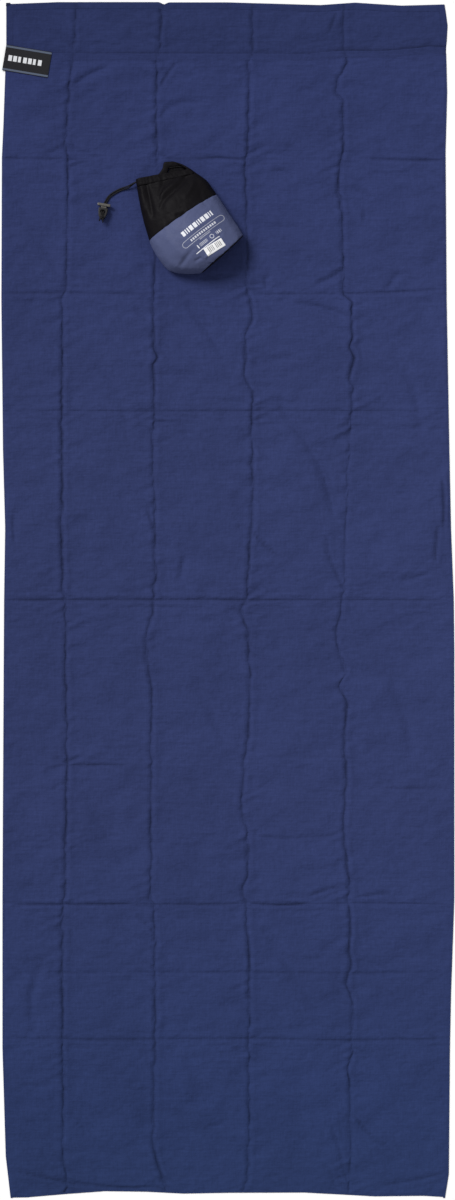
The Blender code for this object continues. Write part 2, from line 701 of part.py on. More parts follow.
def main():
    clear_scene()
    cotton = principled("cotton", (0.031, 0.041, 0.122), 0.85)
    hem_cotton = principled("cotton_hem", (0.028, 0.037, 0.112), 0.85)
    woven_black = principled("woven_label", (0.020, 0.021, 0.024), 0.75)
    black_cloth = principled("sack_black", (0.012, 0.012, 0.015), 0.60)
    blue_cloth = principled("sack_blue", (0.080, 0.090, 0.205), 0.60)
    paper = principled("sticker_paper", (0.80, 0.80, 0.80), 0.50)
    cord_black = principled("cord", (0.010, 0.010, 0.011), 0.65)
    plastic = principled("lock_plastic", (0.015, 0.015, 0.016), 0.35)
    steel = principled("spring_steel", (0.55, 0.55, 0.57), 0.30, 1.0)

    liner = build_liner(cotton, hem_cotton, woven_black)
    sack = build_sack(liner, black_cloth, blue_cloth, paper)
    lock = add_empty("lock", (*LOCK_PLACE, -GAP), sack, LOCK_TURN)
    build_drawcord(sack, lock, cord_black)
    build_cord_lock(lock, plastic, steel)


main()
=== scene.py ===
# %% [markdown]
# # A cotton sleeping-bag liner and its stuff sack
#
# The liner is a long, flat envelope of thin navy cotton that goes inside a sleeping bag. It has
# been unfolded and laid out, so pressed creases cross it both ways. The small sack that it packs
# into lies on it, with a drawcord and a sprung cord lock.
#
# The rigid model of the whole thing is loaded first. It gives every size and every joint, and the
# cloth, cords and finishes made below are laid over it.

# %% Load the rigid model
import math

import bpy
import numpy as np
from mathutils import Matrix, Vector


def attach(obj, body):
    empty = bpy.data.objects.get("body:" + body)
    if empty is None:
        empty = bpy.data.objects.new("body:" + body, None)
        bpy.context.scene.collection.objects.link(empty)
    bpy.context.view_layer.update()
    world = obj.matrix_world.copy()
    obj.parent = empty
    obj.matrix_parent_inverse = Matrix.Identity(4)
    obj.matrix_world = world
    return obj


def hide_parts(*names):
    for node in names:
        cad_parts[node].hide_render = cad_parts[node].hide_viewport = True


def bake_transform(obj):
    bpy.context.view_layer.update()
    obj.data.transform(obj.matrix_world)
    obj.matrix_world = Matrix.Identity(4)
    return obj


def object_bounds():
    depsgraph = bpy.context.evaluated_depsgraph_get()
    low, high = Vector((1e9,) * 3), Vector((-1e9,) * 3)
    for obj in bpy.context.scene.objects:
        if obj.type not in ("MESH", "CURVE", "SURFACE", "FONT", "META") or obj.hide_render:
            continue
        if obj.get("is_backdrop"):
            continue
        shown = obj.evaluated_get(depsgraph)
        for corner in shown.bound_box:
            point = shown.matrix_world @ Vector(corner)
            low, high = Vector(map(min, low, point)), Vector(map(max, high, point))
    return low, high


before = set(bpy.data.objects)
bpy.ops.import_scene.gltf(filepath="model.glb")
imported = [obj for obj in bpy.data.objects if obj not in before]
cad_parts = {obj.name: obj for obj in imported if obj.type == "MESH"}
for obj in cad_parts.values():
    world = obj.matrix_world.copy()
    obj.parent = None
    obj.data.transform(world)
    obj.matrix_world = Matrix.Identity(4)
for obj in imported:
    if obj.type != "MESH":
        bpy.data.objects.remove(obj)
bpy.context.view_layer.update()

# %% [markdown]
# ## Camera
#
# A thing that lies flat is seen best from straight above. An orthographic camera would do that,
# but a perspective camera with a long lens gives nearly the same picture and can also be moved
# round the object. Its height follows from the lens: the sensor's long side has to cover the
# length of the liner and a small margin.

# %% Camera
LENS = 70.0
VIEW_LENGTH = 2.208

camera_data = bpy.data.cameras.new("camera")
camera_data.lens = LENS
camera = bpy.data.objects.new("camera", camera_data)
camera.location = (0.0, 0.0, VIEW_LENGTH * LENS / camera_data.sensor_width)
bpy.context.scene.collection.objects.link(camera)
bpy.context.scene.camera = camera
bpy.context.scene.view_settings.view_transform = "Standard"
print(f"camera {camera.location.z:.2f} m above the table")

# %% [markdown]
# ## Helpers for surfaces
#
# Every new piece is a grid of points worked out with numpy. Modelling by hand would also work,
# but a formula keeps each shape easy to read and to change. These helpers turn a grid into a
# closed mesh, run a section along a path, and make smooth random waves.

# %% Surface helpers
MM = 0.001


def ease(t):
    """Goes from 0 to 1 along a smooth S curve while t goes from 0 to 1."""
    t = np.clip(t, 0, 1)
    return t * t * (3 - 2 * t)


def span(p0, p1, p2, p3, t):
    """A cubic from p1 to p2 that leaves and arrives along the line between its neighbours
    (Catmull-Rom)."""
    return 0.5 * (2 * p1 + (p2 - p0) * t + (2 * p0 - 5 * p1 + 4 * p2 - p3) * t**2
                  + (3 * p1 - p0 - 3 * p2 + p3) * t**3)


def smooth_path(points, steps=6):
    """A smooth curve through the points."""
    points = np.array(points, float)
    p = np.concatenate([[2 * points[0] - points[1]], points, [2 * points[-1] - points[-2]]])
    t = np.linspace(0, 1, steps, endpoint=False)[None, :, None]
    spans = span(*(p[k:len(p) - 3 + k, None] for k in range(4)), t)
    return np.concatenate([spans.reshape(-1, points.shape[1]), points[-1:]])


def run_along(path):
    """Distance along a path from its start to each of its points."""
    return np.concatenate([[0], np.cumsum(np.linalg.norm(np.diff(path, axis=0), axis=1))])


def spaced_path(points, spacing):
    """The same path with its points at an even spacing."""
    points = np.asarray(points, float)
    run = run_along(points)
    wanted = np.linspace(0, run[-1], round(run[-1] / spacing) + 1)
    return np.stack([np.interp(wanted, run, column) for column in points.T], 1)


def turned(x, y, angle):
    """x and y turned anticlockwise about the origin."""
    c, s = math.cos(angle), math.sin(angle)
    return c * x - s * y, s * x + c * y


def grid_of(x, y, z):
    """Points from their coordinates, any of which may be one number for all."""
    return np.stack(np.broadcast_arrays(x, y, z), -1)


WAVE_CELLS = 97


def waves(x, y, seed):
    """Smooth random waves from -1 to 1: a random value at every whole x and y, eased between."""
    table = np.random.default_rng(seed).uniform(-1, 1, (WAVE_CELLS, WAVE_CELLS))
    column, row = np.floor(x).astype(int), np.floor(y).astype(int)
    u, v = ease(x - column), ease(y - row)
    left, right = column % WAVE_CELLS, (column + 1) % WAVE_CELLS
    near, far = (table[r % WAVE_CELLS, left] * (1 - u) + table[r % WAVE_CELLS, right] * u
                 for r in (row, row + 1))
    return near * (1 - v) + far * v


def grid_quads(index):
    """One quad between each four neighbours in a grid of point numbers."""
    corners = (index[:-1, :-1], index[:-1, 1:], index[1:, 1:], index[1:, :-1])
    return np.stack(corners, -1).reshape(-1, 4)


def add_piece(name, points, faces, finish, sharp=50):
    """Put points and faces in a mesh object at the origin, smooth apart from sharp corners. A
    closed mesh whose volume comes out negative is inside out, so it is turned."""
    mesh = bpy.data.meshes.new(name)
    points = np.asarray(points, float).reshape(-1, 3)
    mesh.from_pydata(points.tolist(), [], faces)
    mesh.calc_loop_triangles()
    corners = np.zeros(len(mesh.loop_triangles) * 3, np.int32)
    mesh.loop_triangles.foreach_get("vertices", corners)
    if np.linalg.det(points[corners.reshape(-1, 3)] - points.mean(0)).sum() < 0:
        mesh.flip_normals()
    mesh.shade_smooth()
    mesh.set_sharp_from_angle(angle=math.radians(sharp))
    mesh.materials.append(finish)
    piece = bpy.data.objects.new(name, mesh)
    bpy.context.scene.collection.objects.link(piece)
    return piece


def add_attribute(piece, name, values):
    """Store one vector for each point, for the materials to read."""
    layer = piece.data.attributes.new(name, "FLOAT_VECTOR", "POINT")
    layer.data.foreach_set("vector", np.asarray(values, np.float32).ravel())


def slab(name, top, thickness, finish):
    """Cloth with a thickness: the top grid, the same grid lower down turned over, and a rim
    round both."""
    rows, columns = top.shape[:2]
    index = np.arange(rows * columns).reshape(rows, columns)
    edge = np.concatenate([index[0], index[1:, -1], index[-1, -2::-1], index[-2:0:-1, 0]])
    following = np.roll(edge, -1)
    under = rows * columns
    rim = np.stack([edge + under, following + under, following, edge], 1)
    faces = np.concatenate([grid_quads(index), grid_quads(index)[:, ::-1] + under, rim])
    points = np.concatenate([top.reshape(-1, 3), top.reshape(-1, 3) - (0, 0, thickness)])
    return add_piece(name, points, faces.tolist(), finish)


def tube(name, rings, finish, sharp=50):
    """A closed tube through rings of points, with a flat cap at each end. Rings turn
    anticlockwise seen from the far end."""
    count, around = rings.shape[:2]
    index = np.arange(count * around).reshape(count, around)
    wrapped = np.concatenate([index, index[:, :1]], 1)
    faces = grid_quads(wrapped).tolist()
    faces += [index[0, ::-1].tolist(), index[-1].tolist()]
    return add_piece(name, rings, faces, finish, sharp)


def looped(name, rings, finish, order=1):
    """A piece whose grid closes on itself both ways, like a doughnut. Order -1 turns the faces
    over."""
    index = np.arange(rings.shape[0] * rings.shape[1]).reshape(rings.shape[:2])
    index = np.pad(index, ((0, 1), (0, 1)), mode="wrap")
    return add_piece(name, rings, grid_quads(index)[:, ::order].tolist(), finish)


def ball(rows, columns, hole):
    """Angle down from the top, angle round, and the unit points of a ball. Hole is the angle at
    each pole that its cap covers."""
    down = np.linspace(hole, math.pi - hole, rows)[:, None]
    around = np.linspace(0, 2 * math.pi, columns, endpoint=False)[None, :]
    points = grid_of(np.sin(down) * np.cos(around), np.sin(down) * np.sin(around), np.cos(down))
    return down, around, points


def stand_in(piece, node, body):
    """Show a piece in place of a rigid node and let it ride on a body."""
    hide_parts(node)
    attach(piece, body)
    print(f"{piece.name}: {len(piece.data.polygons)} faces")


def round_rings(path, radius, around=10):
    """Circles square to a path: radius * (cos a * side + sin a * up), where up is kept as near
    to vertical as the path allows."""
    path = np.asarray(path, float)
    ahead = np.gradient(path, axis=0)
    ahead /= np.linalg.norm(ahead, axis=1, keepdims=True)
    side = np.cross(ahead, (0.31, 0.17, 0.93))
    side /= np.linalg.norm(side, axis=1, keepdims=True)
    up = np.cross(side, ahead)
    turn = np.linspace(0, 2 * math.pi, around, endpoint=False)[None, :, None]
    radius = np.broadcast_to(radius, (len(path),))[:, None, None]
    return path[:, None] + radius * (np.cos(turn) * side[:, None] - np.sin(turn) * up[:, None])


print("surface helpers ready")

# %% [markdown]
# ## Helpers for finishes
#
# A material is a small network of nodes. Wiring each node by name gets long, so a little class
# holds one output socket and lets ordinary arithmetic add the Math nodes. Any other node comes
# from its one method.

# %% Finish helpers


class Wire:
    """An output socket. Sums and products of wires and numbers add Math nodes."""

    def __init__(self, tree, socket=None):
        self.tree = tree
        self.socket = socket

    def node(self, kind, settings, sockets, output=0):
        """Add a node: its type, its settings, then a number or a wire for each input socket."""
        made = self.tree.nodes.new(kind)
        stops = settings.pop("stops", None)
        for name, value in settings.items():
            setattr(made, name, value)
        if stops:
            ramp = made.color_ramp.elements
            for position, colour in stops[len(ramp):]:
                ramp.new(position)
            for element, (position, colour) in zip(ramp, stops):
                element.position, element.color = position, (*colour, 1.0)
        for key, value in sockets.items():
            if isinstance(value, Wire):
                self.tree.links.new(value.socket, made.inputs[key])
            else:
                made.inputs[key].default_value = value
        return Wire(self.tree, made.outputs[output])

    def math(self, operation, *others):
        """A Math node on this wire and any others, in that order."""
        return self.node("ShaderNodeMath", {"operation": operation},
                         dict(enumerate((self, *others))))

    def __add__(self, other):
        return self.math("ADD", other)

    def __sub__(self, other):
        return self.math("SUBTRACT", other)

    def __rsub__(self, other):
        return self.node("ShaderNodeMath", {"operation": "SUBTRACT"}, {0: other, 1: self})

    def __mul__(self, other):
        return self.math("MULTIPLY", other)

    __radd__, __rmul__ = __add__, __mul__

    def below(self, limit):
        return self.math("LESS_THAN", limit)

    def size(self):
        return self.math("ABSOLUTE")

    def noise(self, scale, detail=3.0, rough=0.55):
        """Noise from 0 to 1 at the vector that this wire holds."""
        return self.node("ShaderNodeTexNoise", {},
                         {"Vector": self, "Scale": scale, "Detail": detail, "Roughness": rough})

    def mix(self, low, high):
        """A colour between two, by the number that this wire holds."""
        low, high = (c if isinstance(c, Wire) else (*c, 1.0) for c in (low, high))
        return self.node("ShaderNodeMix", {"data_type": "RGBA"}, {0: self, 6: low, 7: high}, 2)

    def mapped(self, scale=(1, 1, 1), move=(0, 0, 0), turn=0.0):
        """This vector with move taken off, scaled, then turned about Z."""
        moved = self.node("ShaderNodeVectorMath", {"operation": "SUBTRACT"}, {0: self, 1: move})
        return moved.node("ShaderNodeMapping", {},
                          {"Vector": moved, "Rotation": (0, 0, turn), "Scale": scale})

    def parts(self):
        """The x, y and z of the vector."""
        split = self.tree.nodes.new("ShaderNodeSeparateXYZ")
        self.tree.links.new(self.socket, split.inputs[0])
        return [Wire(self.tree, socket) for socket in split.outputs]


def new_finish(name, colour, **sockets):
    """A material with its Principled shader's constant numbers set, and a wire to build on."""
    finish = bpy.data.materials.new(name)
    finish.use_nodes = True
    shader = finish.node_tree.nodes["Principled BSDF"]
    shader.inputs["Base Color"].default_value = (*colour, 1.0)
    for key, value in sockets.items():
        shader.inputs[key.replace("_", " ")].default_value = value
    return finish, Wire(finish.node_tree)


def plug(finish, relief=None, depth=0.0003, strength=0.5, facing=None, **wires):
    """Link wires to the shader, and a relief to its normal through a Bump node, which starts
    from the direction in facing if there is one."""
    tree = finish.node_tree
    shader = tree.nodes["Principled BSDF"]
    if relief is not None:
        sockets = {"Strength": strength, "Distance": depth, "Height": relief}
        if facing is not None:
            sockets["Normal"] = facing
        wires["Normal"] = relief.node("ShaderNodeBump", {}, sockets)
    for key, wire in wires.items():
        tree.links.new(wire.socket, shader.inputs[key.replace("_", " ")])


def plan_of(wire):
    """The cloth attribute: x and y of the flat cloth in metres, and how far it is creased."""
    return wire.node("ShaderNodeAttribute", {"attribute_name": "cloth"}, {}, 1)


def object_of(wire):
    """Object coordinates in metres."""
    return wire.node("ShaderNodeTexCoord", {}, {}, 3)


def grainy(name, base, scale, detail, dark, light, bump=None, rough=None, **sockets):
    """A finish that one noise varies: its colour from dark to light and, if given, its bump
    (depth and strength) and its roughness (least and range)."""
    finish, start = new_finish(name, base, **sockets)
    grain = object_of(start).mapped(scale).noise(1.0, detail)
    wires = {"Base_Color": grain.mix(dark, light)}
    if rough:
        wires["Roughness"] = rough[0] + grain * rough[1]
    plug(finish, grain if bump else None, *(bump or ()), **wires)
    return finish


print("finish helpers ready")

# %% [markdown]
# ## Cotton
#
# The liner is plain-woven cotton dyed navy. Up close it has a fine weave, and its thicker yarns,
# called slubs, run across it as short darker and lighter streaks. Shade is painted into its colour
# along the pressed creases, in the dips of the puckers beside them and just above the mouth's
# edge. An image of cloth could be tiled over it, but noise stretched along the yarn gives streaks
# that never repeat. The pattern is read from each point's place on the flat cloth, so that it
# stays on the cloth when a section folds.

# %% Cotton
LENGTH, WIDTH = 2.2, 0.826
# Colour along the liner from foot to head, as a share of its strongest red, green and blue:
# darker towards the foot and towards the head, most of all above the mouth.
TONE_ALONG = (
    (0.00, (0.68, 0.86, 0.86)), (0.08, (0.75, 0.905, 0.93)), (0.18, (0.84, 0.93, 0.95)),
    (0.33, (0.96, 0.975, 0.98)), (0.62, (1.0, 1.0, 1.0)), (0.86, (0.94, 0.95, 0.99)),
    (0.952, (0.88, 0.90, 0.95)), (0.962, (0.76, 0.79, 0.83)),
)


NAVY = np.array((0.0270, 0.0373, 0.1137))
SLUB, YARN = 0.30, 0.00055


def make_cotton(name, shade):
    """Navy cotton: colour, slubs and weave. Shade makes it lighter or darker."""
    navy = NAVY * shade
    finish, start = new_finish(name, navy, Roughness=0.9, Specular_IOR_Level=0.1)
    cloth = plan_of(start)
    across, length, crease = cloth.parts()
    flat = across.node("ShaderNodeCombineXYZ", {}, {0: across, 1: length, 2: 0.0})
    streaks = flat.mapped((42, 460, 1)).noise(1.0, 4.0, 0.62)
    long_streaks = flat.mapped((10, 210, 1), (3, 1, 0)).noise(1.0, 2.0)
    upright = flat.mapped((420, 34, 1), (1, 5, 0)).noise(1.0, 2.0)
    mottle = flat.mapped((130, 150, 1), (2, 7, 0)).noise(1.0, 3.0, 0.6)
    cloud = flat.mapped((7, 5, 1), (8, 2, 0)).noise(1.0, 3.0)
    # Painted shade: the cotton is darker where its crease value is high, in crease valleys, pucker
    # dips, just above the mouth's edge and on the hem's bunched end. It is also darker towards the
    # left.
    tone = across * 0.11 - crease * 0.42 + 0.5
    for pattern, share in ((streaks, 1.2 * SLUB), (long_streaks, 0.8 * SLUB),
                           (upright, 0.9 * SLUB), (mottle, 1.1 * SLUB), (cloud, 0.26)):
        tone = tone + (pattern - 0.5) * share
    colour = tone.mix(navy * 0.5, navy * 1.5)
    along = length * (1 / LENGTH) + 0.5
    along_tone = along.node("ShaderNodeValToRGB", {"stops": TONE_ALONG}, {0: along})
    colour = colour.node("ShaderNodeMix", {"data_type": "RGBA", "blend_type": "MULTIPLY"},
                         {0: 1.0, 6: colour, 7: along_tone}, 2)
    turns = 2 * math.pi / YARN
    weave = (across * turns).math("SINE") * (length * turns).math("SINE")
    crumple = flat.mapped((20, 27, 1), (4, 4, 0)).noise(1.0, 4.0, 0.6)
    relief = crumple * 4.5 + mottle * 0.40 + streaks * 0.06 + upright * 0.06 + weave * 0.01
    tilt = flat.node("ShaderNodeAttribute", {"attribute_name": "tilt"}, {}, 1)
    facing = flat.node("ShaderNodeNewGeometry", {}, {}, 1)
    facing = facing.node("ShaderNodeVectorMath", {"operation": "ADD"}, {0: facing, 1: tilt})
    facing = facing.node("ShaderNodeVectorMath", {"operation": "NORMALIZE"}, {0: facing})
    plug(finish, relief, MM, 1.0, facing, Base_Color=colour)
    return finish


cotton = make_cotton("navy_cotton", 1.0)
hem_cotton = make_cotton("navy_cotton_hem", 0.95)
thread = grainy("navy_thread", (0.026, 0.036, 0.105), (900, 900, 900), 1.0,
                (0.020, 0.028, 0.085), (0.036, 0.048, 0.130), bump=(0.0001, 0.4),
                Roughness=0.8, Specular_IOR_Level=0.1)
print("cotton, hem cotton and thread")

# %% [markdown]
# ## Webbing, nylon, cord and plastic
#
# The label is a black woven tape with blue-grey selvedges. Its pale woven pattern is a plain row
# of bars. The sack is thin coated cloth, black above and grey-blue below, with a plain white
# print of an outline, rules and bars, and a paper sticker. A print could be an image, but here
# it is drawn with distances: a bar is where two distances are both small, a ring is where the
# distance from its centre is near its radius.

# %% Woven label
LABEL_AT = np.array((-0.41117, 0.998))
LABEL_TURN = math.radians(-9.5)
LABEL_SIZE, LABEL_THICKNESS = (0.0855, 0.0475), 0.0006


def bars(across, pitch, share):
    """Upright bars: 1 on a share of each pitch."""
    return (across * (1 / pitch)).math("FRACT").below(share)


def inside(across, up, centre, half):
    """1 inside a rectangle, from the two distances to its centre."""
    return (across - centre[0]).size().below(half[0]) * (up - centre[1]).size().below(half[1])


def blocks(across, up, centre, half, first, pitch, gap_at):
    """A row of plain blocks: bars of one pitch, with every third one cut by a narrow gap."""
    row = inside(across, up, centre, half) * bars(across + first, pitch[0], pitch[1])
    return row * (1 - bars(across - gap_at, 3 * pitch[0], 0.09))


def distance_of(across, up):
    """Distance from the origin."""
    return (across * across + up * up).math("SQRT")


tape, start = new_finish("black_woven_tape", (0.010, 0.010, 0.012), Roughness=0.75,
                         Specular_IOR_Level=0.1)
place = object_of(start).mapped((1, 1, 1), (*LABEL_AT, 0), -LABEL_TURN)
across, up, _ = place.parts()
rib = place.mapped((300, 2600, 300)).noise(1.0, 2.0)
woven = blocks(across, up, (0.0385, 0.0005), (0.0330, 0.0052), 0.001, (0.0092, 0.74), 0.004)
edges = (up.size() - 0.0211).size().below(0.0017)
colour = rib.mix((0.008, 0.008, 0.010), (0.024, 0.024, 0.028))
colour = edges.mix(colour, (0.085, 0.105, 0.150))
colour = woven.mix(colour, (0.62, 0.63, 0.66))
plug(tape, rib + woven * 0.5 + (up * 9000).math("SINE") * 0.2, 0.00025, 0.6, Base_Color=colour)
print("label tape")

# %% Sack cloths and print
PRINT_AT = (-0.0437, 0.6697)
PRINT_TURN = math.radians(38.5)


def make_nylon(name, colour, gloss, printed=False):
    """Thin coated cloth with a fine square weave; the lower panel also carries the print."""
    colour = np.array(colour)
    finish, start = new_finish(name, colour, Roughness=0.5, Specular_IOR_Level=gloss)
    spot = object_of(start)
    fine = spot.mapped((1500, 1500, 1500)).noise(1.0, 2.0)
    cloud = spot.mapped((45, 45, 45)).noise(1.0, 4.0)
    tone = (fine - 0.5) * 0.5 + (cloud - 0.5) * 0.5 + 0.5
    paint = tone.mix(colour * 0.72, colour * 1.30)
    rough = 0.42 + cloud * 0.2
    if printed:
        across, up, _ = spot.mapped((1, 1, 1), (*PRINT_AT, 0), -PRINT_TURN).parts()
        ink = print_of(across, up) * (1 - spot.parts()[2].below(0.022))
        worn = spot.mapped((400, 400, 400)).noise(1.0, 3.0)
        ink = ink * (0.62 + worn * 0.5)
        paint = ink.mix(paint, (0.80, 0.81, 0.85))
        rough = rough - ink * 0.15
    crumple = spot.mapped((60, 60, 60)).noise(1.0, 4.0, 0.6)
    plug(finish, crumple * 1.7 + fine * 0.04, MM, 1.0, Base_Color=paint, Roughness=rough)
    return finish


def print_of(across, up):
    """The white print: a heading of bars, an outline with round ends, a ring, groups of bars and
    two rules."""
    heading = blocks(across, up, (0.0003, 0.0180), (0.0350, 0.0048), 0.0355, (0.0089, 0.76),
                     0.0020)
    end = (across.size() - 0.0410).math("MAXIMUM", 0.0)
    outline = (distance_of(end, up) - 0.0056).size().below(0.00042)
    ring = (distance_of(across - 0.0060, up + 0.0172) - 0.0036).size().below(0.0005)
    total = heading + outline * 0.55 + ring * 0.8
    for along, centre, half, pitch, share, strength in (
            (across, (0.0, 0.0), (0.0290, 0.0022), 0.0049, 0.66, 0.75),
            (across, (-0.003, -0.0083), (0.0120, 0.0009), 0.0021, 0.60, 0.60),
            (across, (0.0215, -0.0172), (0.0055, 0.0028), 0.0037, 0.55, 0.70),
            (up, (-0.0130, -0.0172), (0.0085, 0.0032), 0.0022, 0.45, 0.60)):
        total = total + inside(across, up, centre, half) * bars(along, pitch, share) * strength
    for centre, half in (((-0.0255, -0.0172), (0.0010, 0.0034)),
                         ((-0.0094, -0.0252), (0.0265, 0.0008))):
        total = total + inside(across, up, centre, half)
    return total.math("MINIMUM", 1.0)


sack_black = make_nylon("sack_black", (0.0050, 0.0044, 0.0056), 0.05)
sack_blue = make_nylon("sack_blue", (0.066, 0.079, 0.162), 0.12, printed=True)

STICKER_AT, STICKER_TURN = np.array((-0.0235, 0.6400)), math.radians(33)
STICKER_HALF = (0.0190, 0.0078)
paper, start = new_finish("sticker_paper", (0.8, 0.8, 0.8), Roughness=0.45)
spot = object_of(start)
across, up, _ = spot.mapped((1, 1, 1), (*STICKER_AT, 0), -STICKER_TURN).parts()
grain = spot.mapped((900, 900, 900)).noise(1.0, 2.0)
lines = bars(across, 0.0031, 0.5) * (1 - bars(across, 0.0075, 0.22))
lines = lines * inside(across, up, (0.0010, 0.0008), (0.0150, 0.0052))
colour = grain.mix((0.74, 0.74, 0.75), (0.84, 0.84, 0.85))
plug(paper, grain, 0.0001, 0.2, Base_Color=(lines * 0.8).mix(colour, (0.10, 0.10, 0.11)))
print("sack cloths, print and sticker")

# %% Cord, plastic and steel
CORD_DARK, CORD_MIDDLE = (0.004, 0.004, 0.005), (0.008, 0.008, 0.009)
CORD_LIGHT = (0.016, 0.015, 0.016)
CORD_BUMP = (0.0004, 0.7)
braid, start = new_finish("black_braid", CORD_MIDDLE, Roughness=0.5, Specular_IOR_Level=0.2)
across, along, _ = start.node("ShaderNodeUVMap", {"uv_map": "braid"}, {}).parts()
pattern = ((across * 8 + along * 900) * math.pi).math("SINE") * (
    (across * 8 - along * 900) * math.pi).math("SINE")
# The braid's colour follows its relief, darker in the grooves between strands: painted shade.
plug(braid, pattern, *CORD_BUMP, Base_Color=(pattern * 0.5 + 0.5).mix(CORD_DARK, CORD_LIGHT))
cord_tip = grainy("black_cord_tip", CORD_MIDDLE, (1300, 1300, 1300), 3.0, CORD_DARK, CORD_LIGHT,
                  bump=CORD_BUMP, Roughness=0.55, Specular_IOR_Level=0.2)

plastic, start = new_finish("black_plastic", (0.009, 0.009, 0.010), Roughness=0.3,
                            Specular_IOR_Level=0.35)
spot = object_of(start)
grain = spot.mapped((2200, 2200, 2200)).noise(1.0, 2.0)
scuffs = spot.mapped((260, 90, 260)).noise(1.0, 4.0)
plug(plastic, grain, 0.0001, 0.35, Base_Color=scuffs.mix((0.005, 0.005, 0.006),
                                                      (0.018, 0.017, 0.018)),
     Roughness=0.24 + scuffs * 0.22)

# The lock's cap is coloured lighter and browner than its black body, a painted highlight along its
# top, and has a stronger specular.
cap_with_painted_highlight = grainy("painted_highlight_cap", (0.05, 0.047, 0.042), (420, 160, 420), 4.0,
                     (0.016, 0.015, 0.014), (0.13, 0.122, 0.108), bump=(0.0002, 0.4),
                     rough=(0.18, 0.2), Roughness=0.25, Specular_IOR_Level=0.6)
steel = grainy("spring_steel", (0.55, 0.55, 0.57), (900, 200, 900), 2.0, (0.42, 0.42, 0.44),
               (0.62, 0.62, 0.64), rough=(0.22, 0.2), Roughness=0.3, Metallic=1.0)
print("cord, plastic and steel")

# %% [markdown]
# ## The sack's surface
#
# The sack is a loose tube of cloth lying on its side. Eight sections describe it from mouth to
# base: where its left and right sides are, how round they are and how high the top is crowned. A
# point is found from two numbers, how far along the sack it is and how far round the section.
# Sculpting would be quicker once, but this gives the shells, casing, base, sticker and cord one
# shared shape.

# %% Sack surface
SACK_AT = np.array((-0.118, 0.781, 0.0018))
SACK_TURN = math.radians(28.2)
SACK_WIDTH, SACK_LENGTH, SACK_HEIGHT = 0.150, 0.190, 0.062
CASING_WALL, SHELL_WALL = 0.0052, 0.0012
REAR_LIP, REAR_PEAK = 1.5, 0.5
BASE_LEAN, LEAN_FROM = 0.13, 4.6
CASING_END, PANEL_SEAM, SACK_END = 1.0, 3.0, 7.0
# Left side x, y and right side x, y as shares of width and length, then side radius and crown
# as shares of the height.
SECTIONS = np.array((
    (-0.327, 0.084, 0.327, -0.084, 0.16, 0.00),
    (-0.360, 0.010, 0.373, -0.153, 0.16, 0.04),
    (-0.460, -0.247, 0.433, -0.263, 0.19, 0.32),
    (-0.533, -0.505, 0.460, -0.421, 0.21, 0.45),
    (-0.540, -0.668, 0.473, -0.558, 0.23, 0.52),
    (-0.500, -0.837, 0.487, -0.695, 0.23, 0.54),
    (-0.353, -0.942, 0.500, -0.789, 0.24, 0.52),
    (-0.173, -1.005, 0.500, -0.874, 0.24, 0.45),
))


def sack_to_world(points):
    """Turn points of the sack's own frame about Z and move them to where the sack lies."""
    x, y, z = np.moveaxis(np.asarray(points, float), -1, 0)
    return grid_of(*turned(x, y, SACK_TURN), z) + SACK_AT


def section_at(station):
    """The section at any station: a smooth curve through the table, straight before its start."""
    station = np.asarray(station, float)
    last = len(SECTIONS) - 1
    index = np.clip(np.floor(station).astype(int), 0, last - 1)
    t = (station - index)[..., None]
    p0, p1, p2, p3 = (SECTIONS[np.clip(index + k, 0, last)] for k in (-1, 0, 1, 2))
    return np.where(t < 0, p1 + (p2 - p1) * t, span(p0, p1, p2, p3, t))


def round_section(side_steps=26, flat_steps=64):
    """The unit section, anticlockwise from under the right side: for each point the share along
    the flat, and the cosine and sine on the round side."""
    up = np.linspace(-math.pi / 2, math.pi / 2, side_steps + 1)[:-1]
    run = np.linspace(1, -1, flat_steps + 1)[:-1]
    one, none = np.ones(flat_steps), np.zeros(flat_steps)
    return np.concatenate([
        np.stack([np.ones(side_steps), np.cos(up), np.sin(up)], 1),
        np.stack([run, none, one], 1),
        np.stack([-np.ones(side_steps), -np.cos(up), -np.sin(up)], 1),
        np.stack([-run, none, -one], 1)])


def sack_points(station, shape, inset=0.0):
    """Sack-frame points: plan = middle + share * half width; level = radius * (1 + sine) plus
    the crown, which falls to nothing at the sides. Towards the base the top leans ahead."""
    rows = section_at(station)
    left = rows[..., 0:2] * (SACK_WIDTH, SACK_LENGTH)
    right = rows[..., 2:4] * (SACK_WIDTH, SACK_LENGTH)
    radius, crown = rows[..., 4] * SACK_HEIGHT, rows[..., 5] * SACK_HEIGHT
    half = (right - left) / 2
    half_width = np.linalg.norm(half, axis=-1)
    flat, cosine, sine = shape.T
    share = ((half_width - radius) * flat + (radius - inset) * cosine) / half_width
    plan = (left + right) / 2 + half * share[..., None]
    level = inset + (radius - inset) * (1 + sine) + crown * np.maximum(sine, 0) * (1 - share**2)
    lean = BASE_LEAN * level * ease((station - LEAN_FROM) / (SACK_END - LEAN_FROM))
    ahead = np.stack([half[..., 1], -half[..., 0]], -1) / half_width[..., None]
    return np.concatenate([plan + ahead * lean[..., None], level[..., None]], -1)


def rear_lip(shape):
    """How far, in stations, the rear of the mouth reaches past its front, on the right."""
    flat, _, sine = shape.T
    rise = REAR_LIP * ease((flat + 0.45) / 1.0) + REAR_PEAK * ease((flat - 0.1) / 0.5)
    return rise * (1 - sine) / 2


SHAPE = round_section()
LIP = rear_lip(SHAPE)
print(f"a section of the sack has {len(SHAPE)} points")

# %% [markdown]
# ## Drawcord
#
# Both ends of one braided cord leave the casing at its left tip, lie side by side on the liner,
# pass up through the hole in the lock and end in a knot. Each strand is a tube of rings along
# its route. The route is the rigid model's, point for point.

